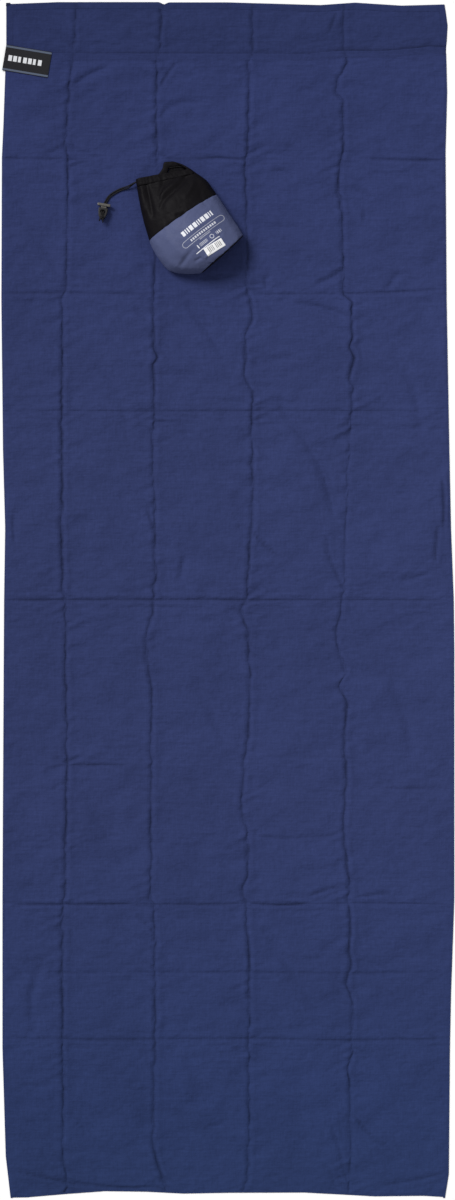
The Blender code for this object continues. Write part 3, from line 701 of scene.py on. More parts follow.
# %% Drawcord
CORD = 0.0026
STRAND_SPACING, EXIT_SPACING = 0.0032, 0.0038
CORD_LEVEL, BEND = 0.0019, 0.0025
LOCK_AT, LOCK_TURN = (-0.130, -0.008), math.radians(-38.0)
LOCK_MIDDLE, LOCK_OVER = 0.0083, 0.0147
CORD_IN_HOLE, CAP_SIDE = 0.0005, 0.015
KNOT_AT, KNOT_RADIUS = -0.0095, 0.0032
RING_SPACING, CORD_DROP = 0.00275, 0.0003


def strand_route(side):
    """The line of one strand, from the casing to the knot; side is 1 or -1."""
    tip = sack_points(np.array([CASING_END / 2]), np.array([(-1.0, -1.0, 0.0)]), CASING_WALL / 2)
    tip = tip[0] + (-0.0029, 0.0, side * EXIT_SPACING / 2)
    beside = side * STRAND_SPACING / 2
    outside = [tip, tip - (0.003, 0, 0),
               (-0.068, 0.011 + 0.9 * beside, 0.0052 + side * 0.0008),
               (-0.080, 0.0135 + beside, CORD_LEVEL), (-0.094, 0.0140 + beside, CORD_LEVEL),
               (-0.108, 0.0115 + beside, CORD_LEVEL)]
    x, y = -beside, CORD_IN_HOLE
    inside_lock = np.array([
        (x, CAP_SIDE - 0.002, CORD_LEVEL), (x, y + 2.2 * BEND, CORD_LEVEL),
        (x, y + BEND, CORD_LEVEL), (x, y + 0.29 * BEND, CORD_LEVEL + 0.29 * BEND),
        (x, y, CORD_LEVEL + BEND), (x, y, LOCK_MIDDLE), (x, y, LOCK_OVER - BEND),
        (x, y - 0.29 * BEND, LOCK_OVER - 0.29 * BEND), (x, y - BEND, LOCK_OVER),
        (x, CORD / 2 + KNOT_RADIUS + KNOT_AT, LOCK_OVER)])
    lx, ly, lz = inside_lock.T
    in_sack = grid_of(*turned(lx, ly, LOCK_TURN), lz) + (*LOCK_AT, 0.0)
    route = smooth_path(np.concatenate([outside, in_sack]), 20)
    return sack_to_world(spaced_path(route, RING_SPACING) - (0, 0, CORD_DROP))


def braided_cord(name, path, radius):
    """A tube with a UV of turns round it and metres along it, for the braid."""
    around = 12
    piece = tube(name, round_rings(path, radius, around), braid)
    along = run_along(path)
    corners = np.zeros(len(piece.data.loops), np.int32)
    piece.data.loops.foreach_get("vertex_index", corners)
    u = (corners % around) / around
    v = along[np.minimum(corners // around, len(along) - 1)]
    layer = piece.data.uv_layers.new(name="braid")
    layer.data.foreach_set("uv", np.stack([u, v], 1).astype(np.float32).ravel())
    return piece


for word, side in (("upper", 1), ("lower", -1)):
    route = strand_route(side)
    piece = braided_cord(f"cord_{word}", route, CORD / 2)
    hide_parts(f"drawcord_strand_{word}")
    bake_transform(piece)
    print(f"{word} strand {1000 * run_along(route)[-1]:.1f} mm")

# %% [markdown]
# ## Sack shells
#
# The black and the blue panel are cloth tubes with an inner and an outer wall. What makes them
# look sewn is relief: folds that run down from the gathered mouth, puckers along the seam that
# joins the panels, and crinkles where the cloth turns over the edge of the base. Cloth
# simulation would find folds of its own; here they are placed one by one as soft ridges and
# valleys along short paths, which keeps them where they belong.

# %% Sack relief


def near_path(x, y, path, reach):
    """Distance from each point to a path, and the share of the way along it. Points outside the
    path's box, widened by reach, get a distance of reach."""
    path = smooth_path(path)
    distance, share = np.full(x.shape, reach), np.zeros(x.shape)
    low, high = path.min(0) - reach, path.max(0) + reach
    close = (x > low[0]) & (x < high[0]) & (y > low[1]) & (y < high[1])
    px, py = x[close], y[close]
    best, best_share = distance[close], share[close]
    count = len(path) - 1
    for k, (a, b) in enumerate(zip(path[:-1], path[1:])):
        step = b - a
        t = np.clip(((px - a[0]) * step[0] + (py - a[1]) * step[1]) / (step @ step), 0, 1)
        there = np.hypot(px - a[0] - t * step[0], py - a[1] - t * step[1])
        nearer = there < best
        best = np.where(nearer, there, best)
        best_share = np.where(nearer, (k + t) / count, best_share)
    distance[close], share[close] = best, best_share
    return distance, share


# Folds of the sack: path in metres, half width and height in millimetres (minus is a valley).
SACK_FOLDS = (
    (((-0.149, 0.768), (-0.145, 0.743), (-0.140, 0.718), (-0.137, 0.694)), 4.0, -2.6),
    (((-0.158, 0.758), (-0.155, 0.732), (-0.151, 0.708)), 4.0, 1.6),
    (((-0.071, 0.785), (-0.084, 0.761), (-0.102, 0.743), (-0.116, 0.729), (-0.124, 0.708)),
     4.5, -2.4),
    (((-0.080, 0.790), (-0.093, 0.766), (-0.112, 0.748), (-0.126, 0.732)), 4.5, 1.8),
    (((-0.115, 0.772), (-0.122, 0.748), (-0.128, 0.724)), 4.0, -1.4),
    (((-0.061, 0.775), (-0.066, 0.750), (-0.080, 0.730)), 5.0, 1.4),
    (((-0.095, 0.700), (-0.085, 0.699), (-0.078, 0.706)), 3.0, -1.5),
    (((-0.086, 0.780), (-0.092, 0.772)), 3.0, -1.5),
    (((-0.050, 0.752), (-0.047, 0.730), (-0.036, 0.716)), 4.5, -1.0),
    (((-0.118, 0.668), (-0.095, 0.640), (-0.078, 0.622)), 8.0, 1.2),
    (((-0.060, 0.640), (-0.076, 0.620), (-0.088, 0.606)), 4.0, -1.8),
    (((-0.046, 0.622), (-0.060, 0.615)), 2.4, -1.6),
    (((-0.030, 0.632), (-0.042, 0.619)), 2.0, 1.3),
    (((-0.010, 0.668), (-0.020, 0.650)), 3.0, -1.2),
)


def sack_relief(world, station):
    """How far the cloth stands out from the plain shape. It fades to nothing underneath, where
    the sack is pressed flat."""
    x, y = world[..., 0], world[..., 1]
    above = ease((SHAPE[:, 2] + 0.45) / 1.0)
    height = np.zeros(x.shape)
    for path, width, rise in SACK_FOLDS:
        distance, share = near_path(x, y, path, 0.02)
        height += 1.35 * rise * np.exp(-(distance / (width * MM))**2) * (1 - (2 * share - 1)**4)
    arc = np.linspace(0, 1, len(SHAPE), endpoint=False) + 0 * station
    height += 1.3 * np.exp(-np.maximum(station - 0.4, 0) / 1.0) * waves(arc * 34, station * 0.6, 3)
    height += 0.7 * waves(x / 0.021, y / 0.021, 4) + 0.35 * waves(x / 0.009, y / 0.009, 5)
    at_seam = np.abs(station - PANEL_SEAM)
    height += 0.6 * np.exp(-at_seam / 0.16) * waves(arc * 62, 0 * arc, 6)
    height -= 0.7 * np.exp(-(at_seam / 0.045)**2)
    at_base = SACK_END - station
    height += 1.4 * np.exp(-at_base / 0.30) * waves(arc * 46, station * 1.5, 7)
    height -= 1.2 * np.exp(-at_base / 0.12)
    return height * above * MM


def outward(points, ahead=None):
    """Unit normals of a grid whose columns go once round. Ahead is the way along the sack at
    each point; without it, it is taken from row to row."""
    around = np.roll(points, -1, axis=1) - np.roll(points, 1, axis=1)
    normal = np.cross(around, np.gradient(points, axis=0) if ahead is None else ahead)
    return normal / np.linalg.norm(normal, axis=-1, keepdims=True)


def panel_surface(stations):
    """The outer surface of a panel: the plain shape moved out by the relief."""
    world = sack_to_world(sack_points(stations, SHAPE))
    return world + outward(world) * sack_relief(world, stations)[..., None]


def sack_panel(name, first, last, rows, finish, node):
    """A cloth tube between two sets of stations, its inner wall joined to the outer at the
    ends."""
    stations = first + (last - first) * np.linspace(0, 1, rows)[:, None]
    outer = panel_surface(stations)
    inner = outer - outward(outer) * SHELL_WALL
    panel = looped(name, np.concatenate([outer, inner[::-1]]), finish)
    stand_in(panel, node, "sack")
    return panel


ONES = np.ones(len(SHAPE))
upper_start = CASING_END + 0.02 - LIP * 0.96
upper_panel = sack_panel("sack_upper_panel", upper_start, (PANEL_SEAM - 0.006) * ONES, 56,
                         sack_black, "sack_upper_shell")
lower_panel = sack_panel("sack_lower_panel", (PANEL_SEAM + 0.006) * ONES, SACK_END * ONES, 72,
                         sack_blue, "sack_lower_shell")

# %% [markdown]
# The mouth casing is the top of the black panel folded over into a tunnel for the cord. It is a
# long thin loop with an oval section, so both directions of its grid close on themselves. The
# drawn-up cord gathers it, which the waves round it show.

# %% Mouth casing


def casing_grid(steps=22):
    """For each angle a of the section: station = middle + half * cos a, depth in the wall =
    half * (1 - sin a), both squared off a little, for every point round the mouth."""
    a = np.linspace(0, 2 * math.pi, steps, endpoint=False)[:, None]
    c = np.sign(np.cos(a)) * np.abs(np.cos(a))**0.6
    s = np.sign(np.sin(a)) * np.abs(np.sin(a))**0.7
    stations = CASING_END * (0.5 - 0.5 * c) - LIP
    arc = np.linspace(0, 1, len(SHAPE), endpoint=False) + 0 * a
    above = ease((SHAPE[:, 2] + 0.6) / 0.6)
    gather = (0.9 * waves(arc * 40, a / 3, 21) + 0.5 * waves(arc * 90, a / 2, 22)) * MM
    stations = stations + 0.05 * waves(arc * 30, 0 * arc, 23) * np.maximum(c, 0) * above
    plain = sack_to_world(sack_points(stations, SHAPE, CASING_WALL / 2 * (1 - s)))
    surface = sack_to_world(sack_points(stations, SHAPE))
    ahead = sack_to_world(sack_points(stations + 0.02, SHAPE)) - surface
    side = np.where(s < -1e-6, -1, 1)
    puff = gather * above * side * (0.35 + 0.65 * np.maximum(s, 0))
    return plain + outward(surface, ahead) * puff[..., None]


casing = looped("sack_casing", casing_grid(), sack_black, -1)
stand_in(casing, "sack_mouth_casing", "sack")

# %% [markdown]
# The base is a round of black cloth that closes the sack, and the sticker is a thin patch that
# follows the blue panel. Both are rings or grids taken from the same surface as the panels, so
# they meet it without fitting.

# %% Base and sticker
end_ring = sack_to_world(sack_points(SACK_END * ONES, SHAPE, 0.0004))
before = sack_to_world(sack_points((SACK_END - 0.4) * ONES, SHAPE, 0.0004))
axis = (end_ring - before).mean(0)
axis[2] = 0.0
axis /= np.linalg.norm(axis)
heart = end_ring.mean(0)
scales = (0.02, 0.35, 0.7, 0.93, 0.985, 1.0, 0.985, 0.93, 0.7, 0.35, 0.02)
offsets = (-0.4, -0.4, -0.4, -0.3, 0.1, 0.9, 1.8, 2.3, 2.9, 3.4, 3.5)
base_rings = np.stack([heart + (end_ring - heart) * scale + axis * offset * MM
                       for scale, offset in zip(scales, offsets)])
sack_base_piece = tube("sack_base_round", base_rings, sack_black)
stand_in(sack_base_piece, "sack_base", "sack")


def lay_on(plan, surface, near=0.0012):
    """Level of a surface under plan points: the mean of its points' levels, each weighted by
    1 / (distance squared + near squared) squared."""
    gap = ((plan[:, None] - surface[None, :, :2])**2).sum(-1)
    weight = 1 / (gap + near**2)**2
    return (weight * surface[None, :, 2]).sum(1) / weight.sum(1)


STICKER_RISE, STICKER_THICKNESS = 0.0007, 0.0002
full = panel_surface(np.linspace(4.6, 6.97, 80)[:, None] * ONES)
full = full[:, (SHAPE[:, 2] == 1) & (SHAPE[:, 1] == 0)].reshape(-1, 3)
u = np.linspace(-1, 1, 42)[None, :] * STICKER_HALF[0]
v = np.linspace(-1, 1, 20)[:, None] * STICKER_HALF[1]
plan = np.stack(turned(u, v, STICKER_TURN), -1) + STICKER_AT
level = lay_on(plan.reshape(-1, 2), full).reshape(plan.shape[:2]) + STICKER_RISE
sticker = slab("sack_label_sticker", grid_of(plan[..., 0], plan[..., 1], level),
               STICKER_THICKNESS, paper)
stand_in(sticker, "sack_sticker", "sack")

# %% [markdown]
# The knot is tied in the ends of both strands. Modelling a real overhand knot as one tangled
# tube gives a mesh that runs through itself, so the knot is a ball with three rounded turns
# wound across it, and two short cut ends.

# %% Knot and lock
KNOT_RISE = 0.0006
lock_heart = sack_to_world((*LOCK_AT, 0.0))
turn = SACK_TURN + LOCK_TURN
lock_ahead = np.array((-math.sin(turn), math.cos(turn), 0.0))
lock_side = np.array((math.cos(turn), math.sin(turn), 0.0))
knot_heart = lock_heart + lock_ahead * KNOT_AT + (0, 0, LOCK_OVER - CORD_DROP + KNOT_RISE)
down, around, unit = ball(30, 48, 0.06)
swell = 1 + 0.16 * np.cos(3 * around + 5 * down) * np.sin(down)**0.5
knot = tube("cord_knot", knot_heart + KNOT_RADIUS * swell[..., None] * unit, cord_tip)
stand_in(knot, "drawcord_knot", "lock")
for word, side in (("left", -1), ("right", 1)):
    path = smooth_path([
        knot_heart - lock_ahead * 0.002 + lock_side * side * 0.0012,
        knot_heart - lock_ahead * 0.0055 + lock_side * side * 0.0028 - (0, 0, 0.0010),
        knot_heart - lock_ahead * (0.0090 + side * 0.0010) + lock_side * side * 0.0034
        - (0, 0, 0.0042)], 5)
    tail = braided_cord(f"cord_end_{word}", path, CORD / 2 * 0.95)
    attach(tail, "lock")
for node, finish in (("lock_body", plastic), ("lock_plunger", cap_with_painted_highlight),
                     ("lock_spring", steel), ("drawcord_loop", cord_tip)):
    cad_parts[node].data.materials.clear()
    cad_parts[node].data.materials.append(finish)
print("knot, lock and spring")

# %% [markdown]
# ## The liner's outline and pressed creases
#
# The cloth's edges wander a little, and four long creases run from head to foot. The front
# layer's grid is laid out along them: its columns follow the left edge, the four creases and the
# right edge, and crowd together beside each one. A plain square grid would need many times the
# points to draw the same sharp lines.

# %% Outline and long creases
HEAD, FOOT, MOUTH = 1.1, -1.1, 1.006
HEAD_FOLD, FOOT_FOLD = 1.026, -0.559
SPLITS = (0.347, -0.304)
LEFT_EDGE = np.array((
    (-0.500, 0.014), (-0.465, 0.005), (-0.375, -0.001), (-0.250, -0.001), (-0.160, 0.000),
    (0.000, 0.002), (0.060, 0.004), (0.125, 0.000), (0.250, -0.003), (0.370, -0.002),
    (0.400, 0.001), (0.465, 0.006), (0.500, 0.006)))
RIGHT_EDGE = np.array((
    (-0.500, 0.013), (-0.480, 0.006), (-0.375, 0.004), (-0.330, 0.002), (-0.250, -0.004),
    (-0.040, -0.004), (0.000, -0.003), (0.060, 0.002), (0.125, 0.005), (0.250, 0.010),
    (0.375, 0.012), (0.425, 0.009), (0.460, 0.011), (0.480, 0.008), (0.500, 0.014)))

# Each long crease from head to foot: y, x in centimetres and how deep it is pressed there.
LONG_CREASES = (
    ((109.5, -27.7, .7), (101, -28.2, .7), (95.7, -29.0, .8), (83.7, -29.8, .8),
     (82.8, -29.5, .7), (70, -29.3, .7), (57, -29.7, .8), (55, -30.4, 1), (27.6, -30.4, 1.1),
     (4, -30.4, 1.1), (0, -29.9, .8), (-27.6, -29.5, .8), (-55, -29.9, .9), (-56, -30.3, .9),
     (-79, -30.4, .9), (-102, -30.1, .8), (-109.5, -29.6, .6)),
    ((109.5, -12.0, .8), (101, -12.3, .9), (99.5, -13.0, 1), (88, -13.1, .9), (80, -12.8, .9),
     (77, -13.1, .8), (66, -13.4, .8), (55, -13.4, .9), (46, -13.5, 1), (44.6, -12.8, 1),
     (43, -13.7, 1), (36.8, -13.4, .8), (27.6, -13.6, .8), (18.4, -13.3, .8), (7.4, -13.1, .8),
     (0, -13.6, .8), (-3.7, -14.0, .7), (-7.4, -15.1, .6), (-11, -14.7, .6), (-16.6, -13.9, .7),
     (-36.8, -14.0, .7), (-55, -14.1, .9), (-56, -13.4, .8), (-73.6, -13.2, .8),
     (-92, -13.5, .9), (-99.4, -13.7, .9), (-103.6, -12.8, .8), (-108.5, -11.4, .5)),
    ((109.5, 4.5, .9), (101, 4.7, 1), (99.4, 4.1, 1), (92, 3.9, 1.1), (83, 3.8, 1),
     (81.5, 3.4, .9), (70, 3.6, .9), (57, 3.6, .9), (55.2, 4.3, 1.1), (52, 4.9, 1.2),
     (49.3, 3.4, 1.1), (40.5, 3.2, 1), (38.3, 4.6, .9), (18.4, 4.7, .8), (12.7, 4.5, .8),
     (7, 4.0, .7), (0.2, 3.6, .8), (-1.7, 2.5, .8), (-6, 3.8, .8), (-13.2, 4.2, .8),
     (-25.2, 4.1, .8), (-29.4, 3.2, .8), (-38.3, 2.5, .8), (-42.5, 3.6, .8), (-50.8, 3.9, .9),
     (-52.8, 2.7, .9), (-56, 3.4, .9), (-67.2, 4.1, .9), (-88, 4.1, .9), (-106.7, 3.8, .8),
     (-109, 2.7, .6)),
    ((109.5, 21.4, .5), (101.2, 21.5, .9), (99, 22.0, 1), (95.5, 20.3, 1.1), (93.3, 19.9, 1),
     (91.8, 21.3, .9), (83, 21.4, .9), (80, 20.7, .8), (75.4, 20.5, .9), (72.7, 20.9, .9),
     (70, 21.3, .9), (56.1, 21.5, .8), (54.8, 22.9, 1.1), (47.8, 22.9, 1.1), (46.7, 22.5, 1),
     (44.5, 23.3, 1), (40.8, 22.5, 1), (39.2, 23.3, .8), (33, 22.6, .4), (23.9, 22.2, .3),
     (14.7, 21.8, .3), (1.8, 21.5, .6), (-1.7, 20.9, .7), (-6, 19.9, .7), (-8.3, 20.3, .7),
     (-13.2, 22.0, .8), (-15.6, 20.5, .8), (-18.6, 22.0, .9), (-27.6, 21.6, .9),
     (-32.4, 22.0, .8), (-36, 21.6, .7), (-42.3, 21.4, .7), (-49.5, 22.2, .9),
     (-52, 22.6, .9), (-55.2, 22.0, .8), (-58.7, 22.7, .9), (-64.8, 22.2, .9),
     (-67, 22.9, .9), (-70.8, 22.0, .9), (-73.8, 23.1, .8), (-79, 22.9, .6), (-83.5, 23.1, .8),
     (-85.7, 22.2, .9), (-94, 22.7, .8), (-101, 22.9, .5), (-107.6, 22.2, .4)),
)


def edge_at(table, y):
    """How far in from the widest line an edge lies at y."""
    return np.interp(np.asarray(y) / LENGTH, table[:, 0], table[:, 1])


def left_at(y):
    """x of the left edge."""
    return -WIDTH / 2 + edge_at(LEFT_EDGE, y)


def right_at(y):
    """x of the right edge."""
    return WIDTH / 2 - edge_at(RIGHT_EDGE, y)


def crease_at(which, y):
    """x and depth of a long crease at y, with a fine wander of its own."""
    places, across, depths = np.array(LONG_CREASES[which])[::-1].T
    row = y * 0 + which
    wander = 1.4 * waves(y / 0.021, row, 31) + 1.3 * waves(y / 0.0085, row, 32)
    x = np.interp(y * 100, places, across) / 100 + wander * MM
    return x, np.interp(y * 100, places, depths) * (0.85 + 0.35 * waves(y / 0.05, 2 * row, 33))


def head_edge(x):
    """The head's edge dips a few millimetres here and there."""
    places = np.array((-0.41, -0.40, -0.31, -0.125, -0.117, -0.108, 0.00, 0.17, 0.235, 0.32, 0.41))
    heights = np.array((-5.0, -3.5, 0.0, 0.0, -4.5, -0.5, -0.5, -5.5, -1.0, -6.5, -4.0))
    return HEAD + np.interp(x, places, heights) * MM


def mouth_edge(x):
    """The mouth's edge rides up a little towards the right."""
    places = np.array((-0.41, 0.15, 0.18, 0.216, 0.28, 0.347, 0.371, 0.41))
    heights = np.array((0.0, -1.0, 2.5, 4.5, 3.5, 9.0, 12.5, 10.5))
    return MOUTH + np.interp(x, places, heights) * MM


def foot_edge(x):
    """The foot's edge bows up on the left."""
    places = np.array((-0.41, -0.37, -0.30, -0.225, -0.15, -0.08, 0.0, 0.14, 0.27, 0.36, 0.41))
    heights = np.array((0.5, 1.0, 7.0, 12.5, 11.5, 8.0, 9.5, 10.0, 3.0, 4.0, 1.0))
    return FOOT + np.interp(x, places, heights) * MM


print(f"{len(LONG_CREASES)} long creases")

# %% [markdown]
# ## Wrinkles
#
# Across the long creases run shorter ones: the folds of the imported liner, and wrinkles where it
# was creased again. Each is a path with a width and a depth, like the folds of the sack.
# Everything else, such as the puckers beside the creases and the slack between them, is too
# small to place and comes from random waves with a fixed seed.

# %% Wrinkles
# Sharp creases: path in centimetres, depth.
SHARP = (
    (((-12.8, 81.1), (-4, 81.3), (4.2, 81.0)), .8),
    (((25.7, 81.1), (33, 80.9), (40, 80.9)), .65),
    (((-41, 81.3), (-35, 81.1), (-30, 81.2)), .4),
    (((23.3, 56.3), (30, 56.6), (39.3, 57.0)), .6),
    (((-41, 56.5), (-28, 56.4), (-13, 56.3)), .4),
    (((5, 56.2), (12, 56.2), (22, 56.3)), .3),
    (((-40, 34.9), (-15, 34.7), (10, 34.8), (39, 34.7)), .3),
    (((-41, .0), (-30, .0), (-14, .05), (3, .0), (12, .0)), .75),
    (((8, .0), (22, .0), (41, .0)), .4),
    (((-28.8, -30.3), (-23, -30.4), (-18.3, -30.4)), .4),
    (((27.7, -34.6), (33, -34.7), (37.2, -34.6)), .35),
    (((5.4, -43.4), (12, -43.8), (19.6, -43.3)), .4),
    (((-39.3, -56.0), (-30, -56.0), (-17, -55.9)), .9),
    (((4.2, -55.9), (10, -56.1), (15.2, -55.8)), .8),
    (((-17, -55.9), (-6, -56.0), (4, -55.9)), .35),
    (((15, -55.9), (28, -55.8), (40, -56.0)), .35),
    (((15.0, -54.5), (18.5, -53.1), (22.2, -52.3)), .8),
    (((23.3, -54.8), (27, -54.2), (30.3, -53.9)), .7),
    (((-40, -68.6), (-5, -68.5), (22, -68.7), (40, -68.5)), .3),
    (((-41, -80.6), (-20, -80.9), (4, -80.7), (23, -81.0), (41, -80.7)), .5),
    (((-39.8, -104.7), (-30.1, -106.9), (-20.5, -108.0), (-13.7, -108.0), (-11.1, -108.8)), .7),
    (((28.8, -107.6), (34, -106.8), (40.0, -105.4)), .6),
    (((-9.3, 98.9), (-11, 96.8), (-12.4, 94.4)), .7),
    (((-16.7, -57.8), (-14, -60.5), (-13.5, -60.8)), .7),
    (((-12.2, -75.4), (-13.5, -77), (-13.7, -77.4)), .6),
    (((-13.7, -99.9), (-12.8, -103.6), (-11.1, -108.2)), .7),
    (((4.5, 12.7), (7, 10.0), (9.5, 7.9)), .7),
    (((19.1, 73.8), (20, 74.2), (21.0, 74.6)), .7),
    (((22.9, 76.2), (25, 75.0), (27.0, 74.0)), 1.0),
    (((24.9, 72.1), (25.1, 70.7), (25.3, 69.5)), .7),
    (((20.1, 108.2), (19.4, 106.2), (18.7, 104.3)), .8),
    (((39.5, 22.3), (39.8, 18), (39.8, 13.2)), .8),
    (((38.7, 13.8), (38.4, 10), (38.2, 6.8)), .7),
    (((22.7, -94.2), (26.8, -98.9), (29.3, -100.1)), .7),
    (((18.0, -103.6), (19, -105.6), (19.8, -108.0)), .6),
    (((18.7, -96.1), (20.5, -101), (22.2, -107.6)), .6),
    (((17.6, -97.2), (17.5, -98.6), (17.6, -99.9)), .5),
    (((18.1, 11.6), (18.7, 7.9), (21.4, 1.8)), .6),
    (((-14.7, 17), (-14.1, 14.5), (-13.4, 12.7)), .6),
)
# Soft wrinkles: path in centimetres, half width in millimetres, depth.
SOFT = (
    (((-28.4, 94.6), (-25, 96.8), (-21.8, 97.9)), 5, .8),
    (((-21.1, 92.7), (-17, 91.6), (-13.7, 91.1)), 4, .6),
    (((-12.4, 89.2), (-9.5, 91.1), (-2.9, 92.0)), 4, .7),
    (((12.6, 93.5), (15, 93.9), (17.2, 93.7)), 4, .6),
    (((8.0, 79.3), (10.2, 78.4), (12.4, 76.9)), 5, .7),
    (((7.1, 59.6), (7.2, 58.3), (7.3, 57.0)), 3, .7),
    (((16.1, 58.0), (19, 59.1), (21.4, 60.7)), 5, .7),
    (((31.7, 60.4), (30.4, 58.6), (29.2, 57.0)), 5, .6),
    (((4.7, 68.4), (10, 68.5), (15, 68.1)), 6, .5),
    (((-17.2, 53.9), (-15.6, 52.4), (-14.1, 51.2)), 4, .6),
    (((-7.6, 55.2), (-4.3, 50.6), (-0.1, 44.0)), 7, .7),
    (((12.4, 54.8), (18.5, 53.2), (22.5, 51.7)), 5, .8),
    (((6.5, 43.8), (9.6, 44.3), (12.8, 44.5)), 5, .6),
    (((9.1, 37.9), (11.5, 33.3), (15, 28.5), (18, 22), (19.8, 15.1)), 7, .9),
    (((16.7, 25.9), (18.5, 21.7), (19.8, 15.1)), 5, .6),
    (((-27.9, 15.1), (-25.8, 14.2), (-23.6, 13.1)), 5, .6),
    (((-39.3, 15.8), (-39.2, 13), (-38.9, 10.5)), 4, .5),
    (((-7.8, 8.3), (-8.2, 6), (-8.6, 3.5)), 5, .8),
    (((31.7, 3.7), (34.5, 4.0), (37.4, 5.0)), 5, .6),
    (((-27.9, -95.9), (-25.8, -97), (-23.6, -98.1)), 5, .6),
    (((-4.0, -97.3), (-2, -96.7), (0.1, -95.9)), 5, .5),
    (((-38, 70), (-34, 66), (-31, 60)), 9, .5),
    (((30, 46), (34, 40), (36, 30)), 9, .5),
    (((-24, 44), (-20, 38), (-18, 30)), 9, .5),
    (((-6, -14), (-3, -20), (0, -27)), 9, .5),
    (((-26, -36), (-22, -43), (-18, -50)), 9, .5),
    (((30, -14), (33, -22), (34, -30)), 8, .5),
    (((8, -62), (13, -70), (17, -76)), 9, .5),
    (((-34, -66), (-36, -74), (-35, -80)), 8, .5),
    (((-8, -84), (-4, -90), (1, -94)), 8, .5),
    (((28, -84), (32, -90), (37, -94)), 8, .5),
)


PRESS_FADE = 0.012


def pressed(x, y):
    """1 where the sack, the lock and cord, or the label lie on the cloth, easing to 0 beside
    them, from the distance to three turned rectangles."""
    boxes = ((SACK_AT[:2], SACK_TURN, (-0.088, 0.078), (-0.195, 0.016)),
             (SACK_AT[:2], SACK_TURN, (-0.150, -0.060), (-0.026, 0.022)),
             (LABEL_AT, LABEL_TURN, (-0.004, 0.0870), (-0.0245, 0.0245)))
    mask = np.zeros(x.shape)
    for place, angle, (x0, x1), (y0, y1) in boxes:
        u, v = turned(x - place[0], y - place[1], -angle)
        far = np.hypot(np.maximum(np.maximum(x0 - u, u - x1), 0),
                       np.maximum(np.maximum(y0 - v, v - y1), 0))
        mask = np.maximum(mask, 1 - ease(far / PRESS_FADE))
    return mask


GROOVE = 0.0022


def cloth_relief(x, y):
    """Height of the cloth about its mean in millimetres, and how creased it is from 0 to 1."""
    height, crease = np.zeros(x.shape), np.zeros(x.shape)
    nearest = np.full(x.shape, 0.3)
    for which in range(len(LONG_CREASES)):
        line, depth = crease_at(which, y)
        off, row = x - line, y * 0 + which
        far = np.abs(off)
        nearest = np.minimum(nearest, far)
        height -= 1.5 * depth * np.exp(-far / GROOVE)
        height += 0.42 * depth * np.exp(-((far - 0.008) / 0.0055)**2)
        broken = 0.35 + 0.75 * ease(waves(y / 0.022, row, 44) + 0.55)
        # The crease value, which the cotton paints as shade, runs along each crease's valley,
        # broken along its length.
        crease = np.maximum(crease, depth * broken * np.exp(-(far / GROOVE)**2))
        beside = np.exp(-np.maximum(far - 0.004, 0) / 0.020)
        spread = (y + 0.45 * far * np.sign(waves(y / 0.06, row, 41))) / 0.0088
        pucker = waves(spread, 5 * row + np.sign(off), 42)
        busy = 0.35 + 0.65 * ease(waves(y / 0.045, row, 43) + 0.5)
        height += 0.95 * beside * pucker * busy
        # Painted shade also in the dips of the puckers beside each crease.
        crease = np.maximum(crease, 0.55 * depth * busy * ease(-2.2 * pucker - 0.35)
                            * np.exp(-far / 0.0075))
    for path, depth in SHARP:
        distance, share = near_path(x, y, np.array(path) / 100, 0.014)
        fade = 1 - (2 * share - 1)**6
        height -= 1.45 * depth * fade * np.exp(-distance / 0.0023)
        height += 0.30 * depth * fade * np.exp(-((distance - 0.007) / 0.005)**2)
        broken = 0.4 + 0.6 * ease(waves((x + y) / 0.035, y * 0, 45) + 0.6)
        # Painted shade along the sharp creases as well.
        crease = np.maximum(crease, depth * fade * broken * np.exp(-(distance / 0.0024)**2))
    for path, width, depth in SOFT:
        distance, share = near_path(x, y, np.array(path) / 100, 0.03)
        height -= 2.2 * depth * (1 - (2 * share - 1)**4) * np.exp(-(distance / width / MM)**2)
    height += 0.30 * (1 - np.exp(-nearest / 0.03))
    height += 0.55 * waves(x / 0.046, y / 0.034, 51) + 0.30 * waves(x / 0.019, y / 0.013, 52)
    height += 0.13 * waves(x / 0.012, y / 0.005, 53) + 0.08 * waves(x / 0.040, y / 0.0035, 54)
    return height, np.clip(crease, 0, 1)


def settle(height, x, y, low, high, flat):
    """Fit a height in millimetres between two levels with a soft limit, tanh, and press it to
    the flat level under what lies on the cloth."""
    middle, half = (low + high) / 2, (high - low) / 2
    free = middle + half * np.tanh((height + 0.1) / half)
    weight = pressed(x, y)
    calm = np.minimum(middle + 0.5 * half * np.tanh(height / half) - 0.15, flat)
    return free * (1 - weight) + calm * weight


print(f"{len(SHARP)} sharp and {len(SOFT)} soft wrinkles")

# %% [markdown]
# ## Cloth layers
#
# Front and back layers are thin slabs with their own rows of points. Each is cut in three where
# a crease hides the join. The middle and lower pieces each cross one fold, and rows crowd close
# at the two folds.

# %% Layers
CLOTH, FRONT_SPACING, BACK_SPACING = 0.0003, 0.0041, 0.0055
PANEL_CELLS, BACK_CELLS = (34, 44, 46, 46, 50), (12, 15, 16, 16, 18)
CROSS_LINES = (0.811, 0.5635, 0.348, -0.304, -0.346, -0.436, -0.56, -0.686, -0.808)
# Levels of the layers' upper sides in millimetres. The front may rise higher on the head half,
# where nothing folds flat against it, and is pressed down under the sack and the label.
BACK_LEVEL, FRONT_LOW, FRONT_HIGH, HEAD_RISE, PRESSED_LEVEL = 0.36, 0.72, 2.0, 0.8, 1.48


def crowd(t, gather=0.6):
    """Shares from 0 to 1 that crowd together at both ends: t - gather * sin(2 pi t) / (2 pi)."""
    return t - gather * np.sin(2 * math.pi * t) / (2 * math.pi)


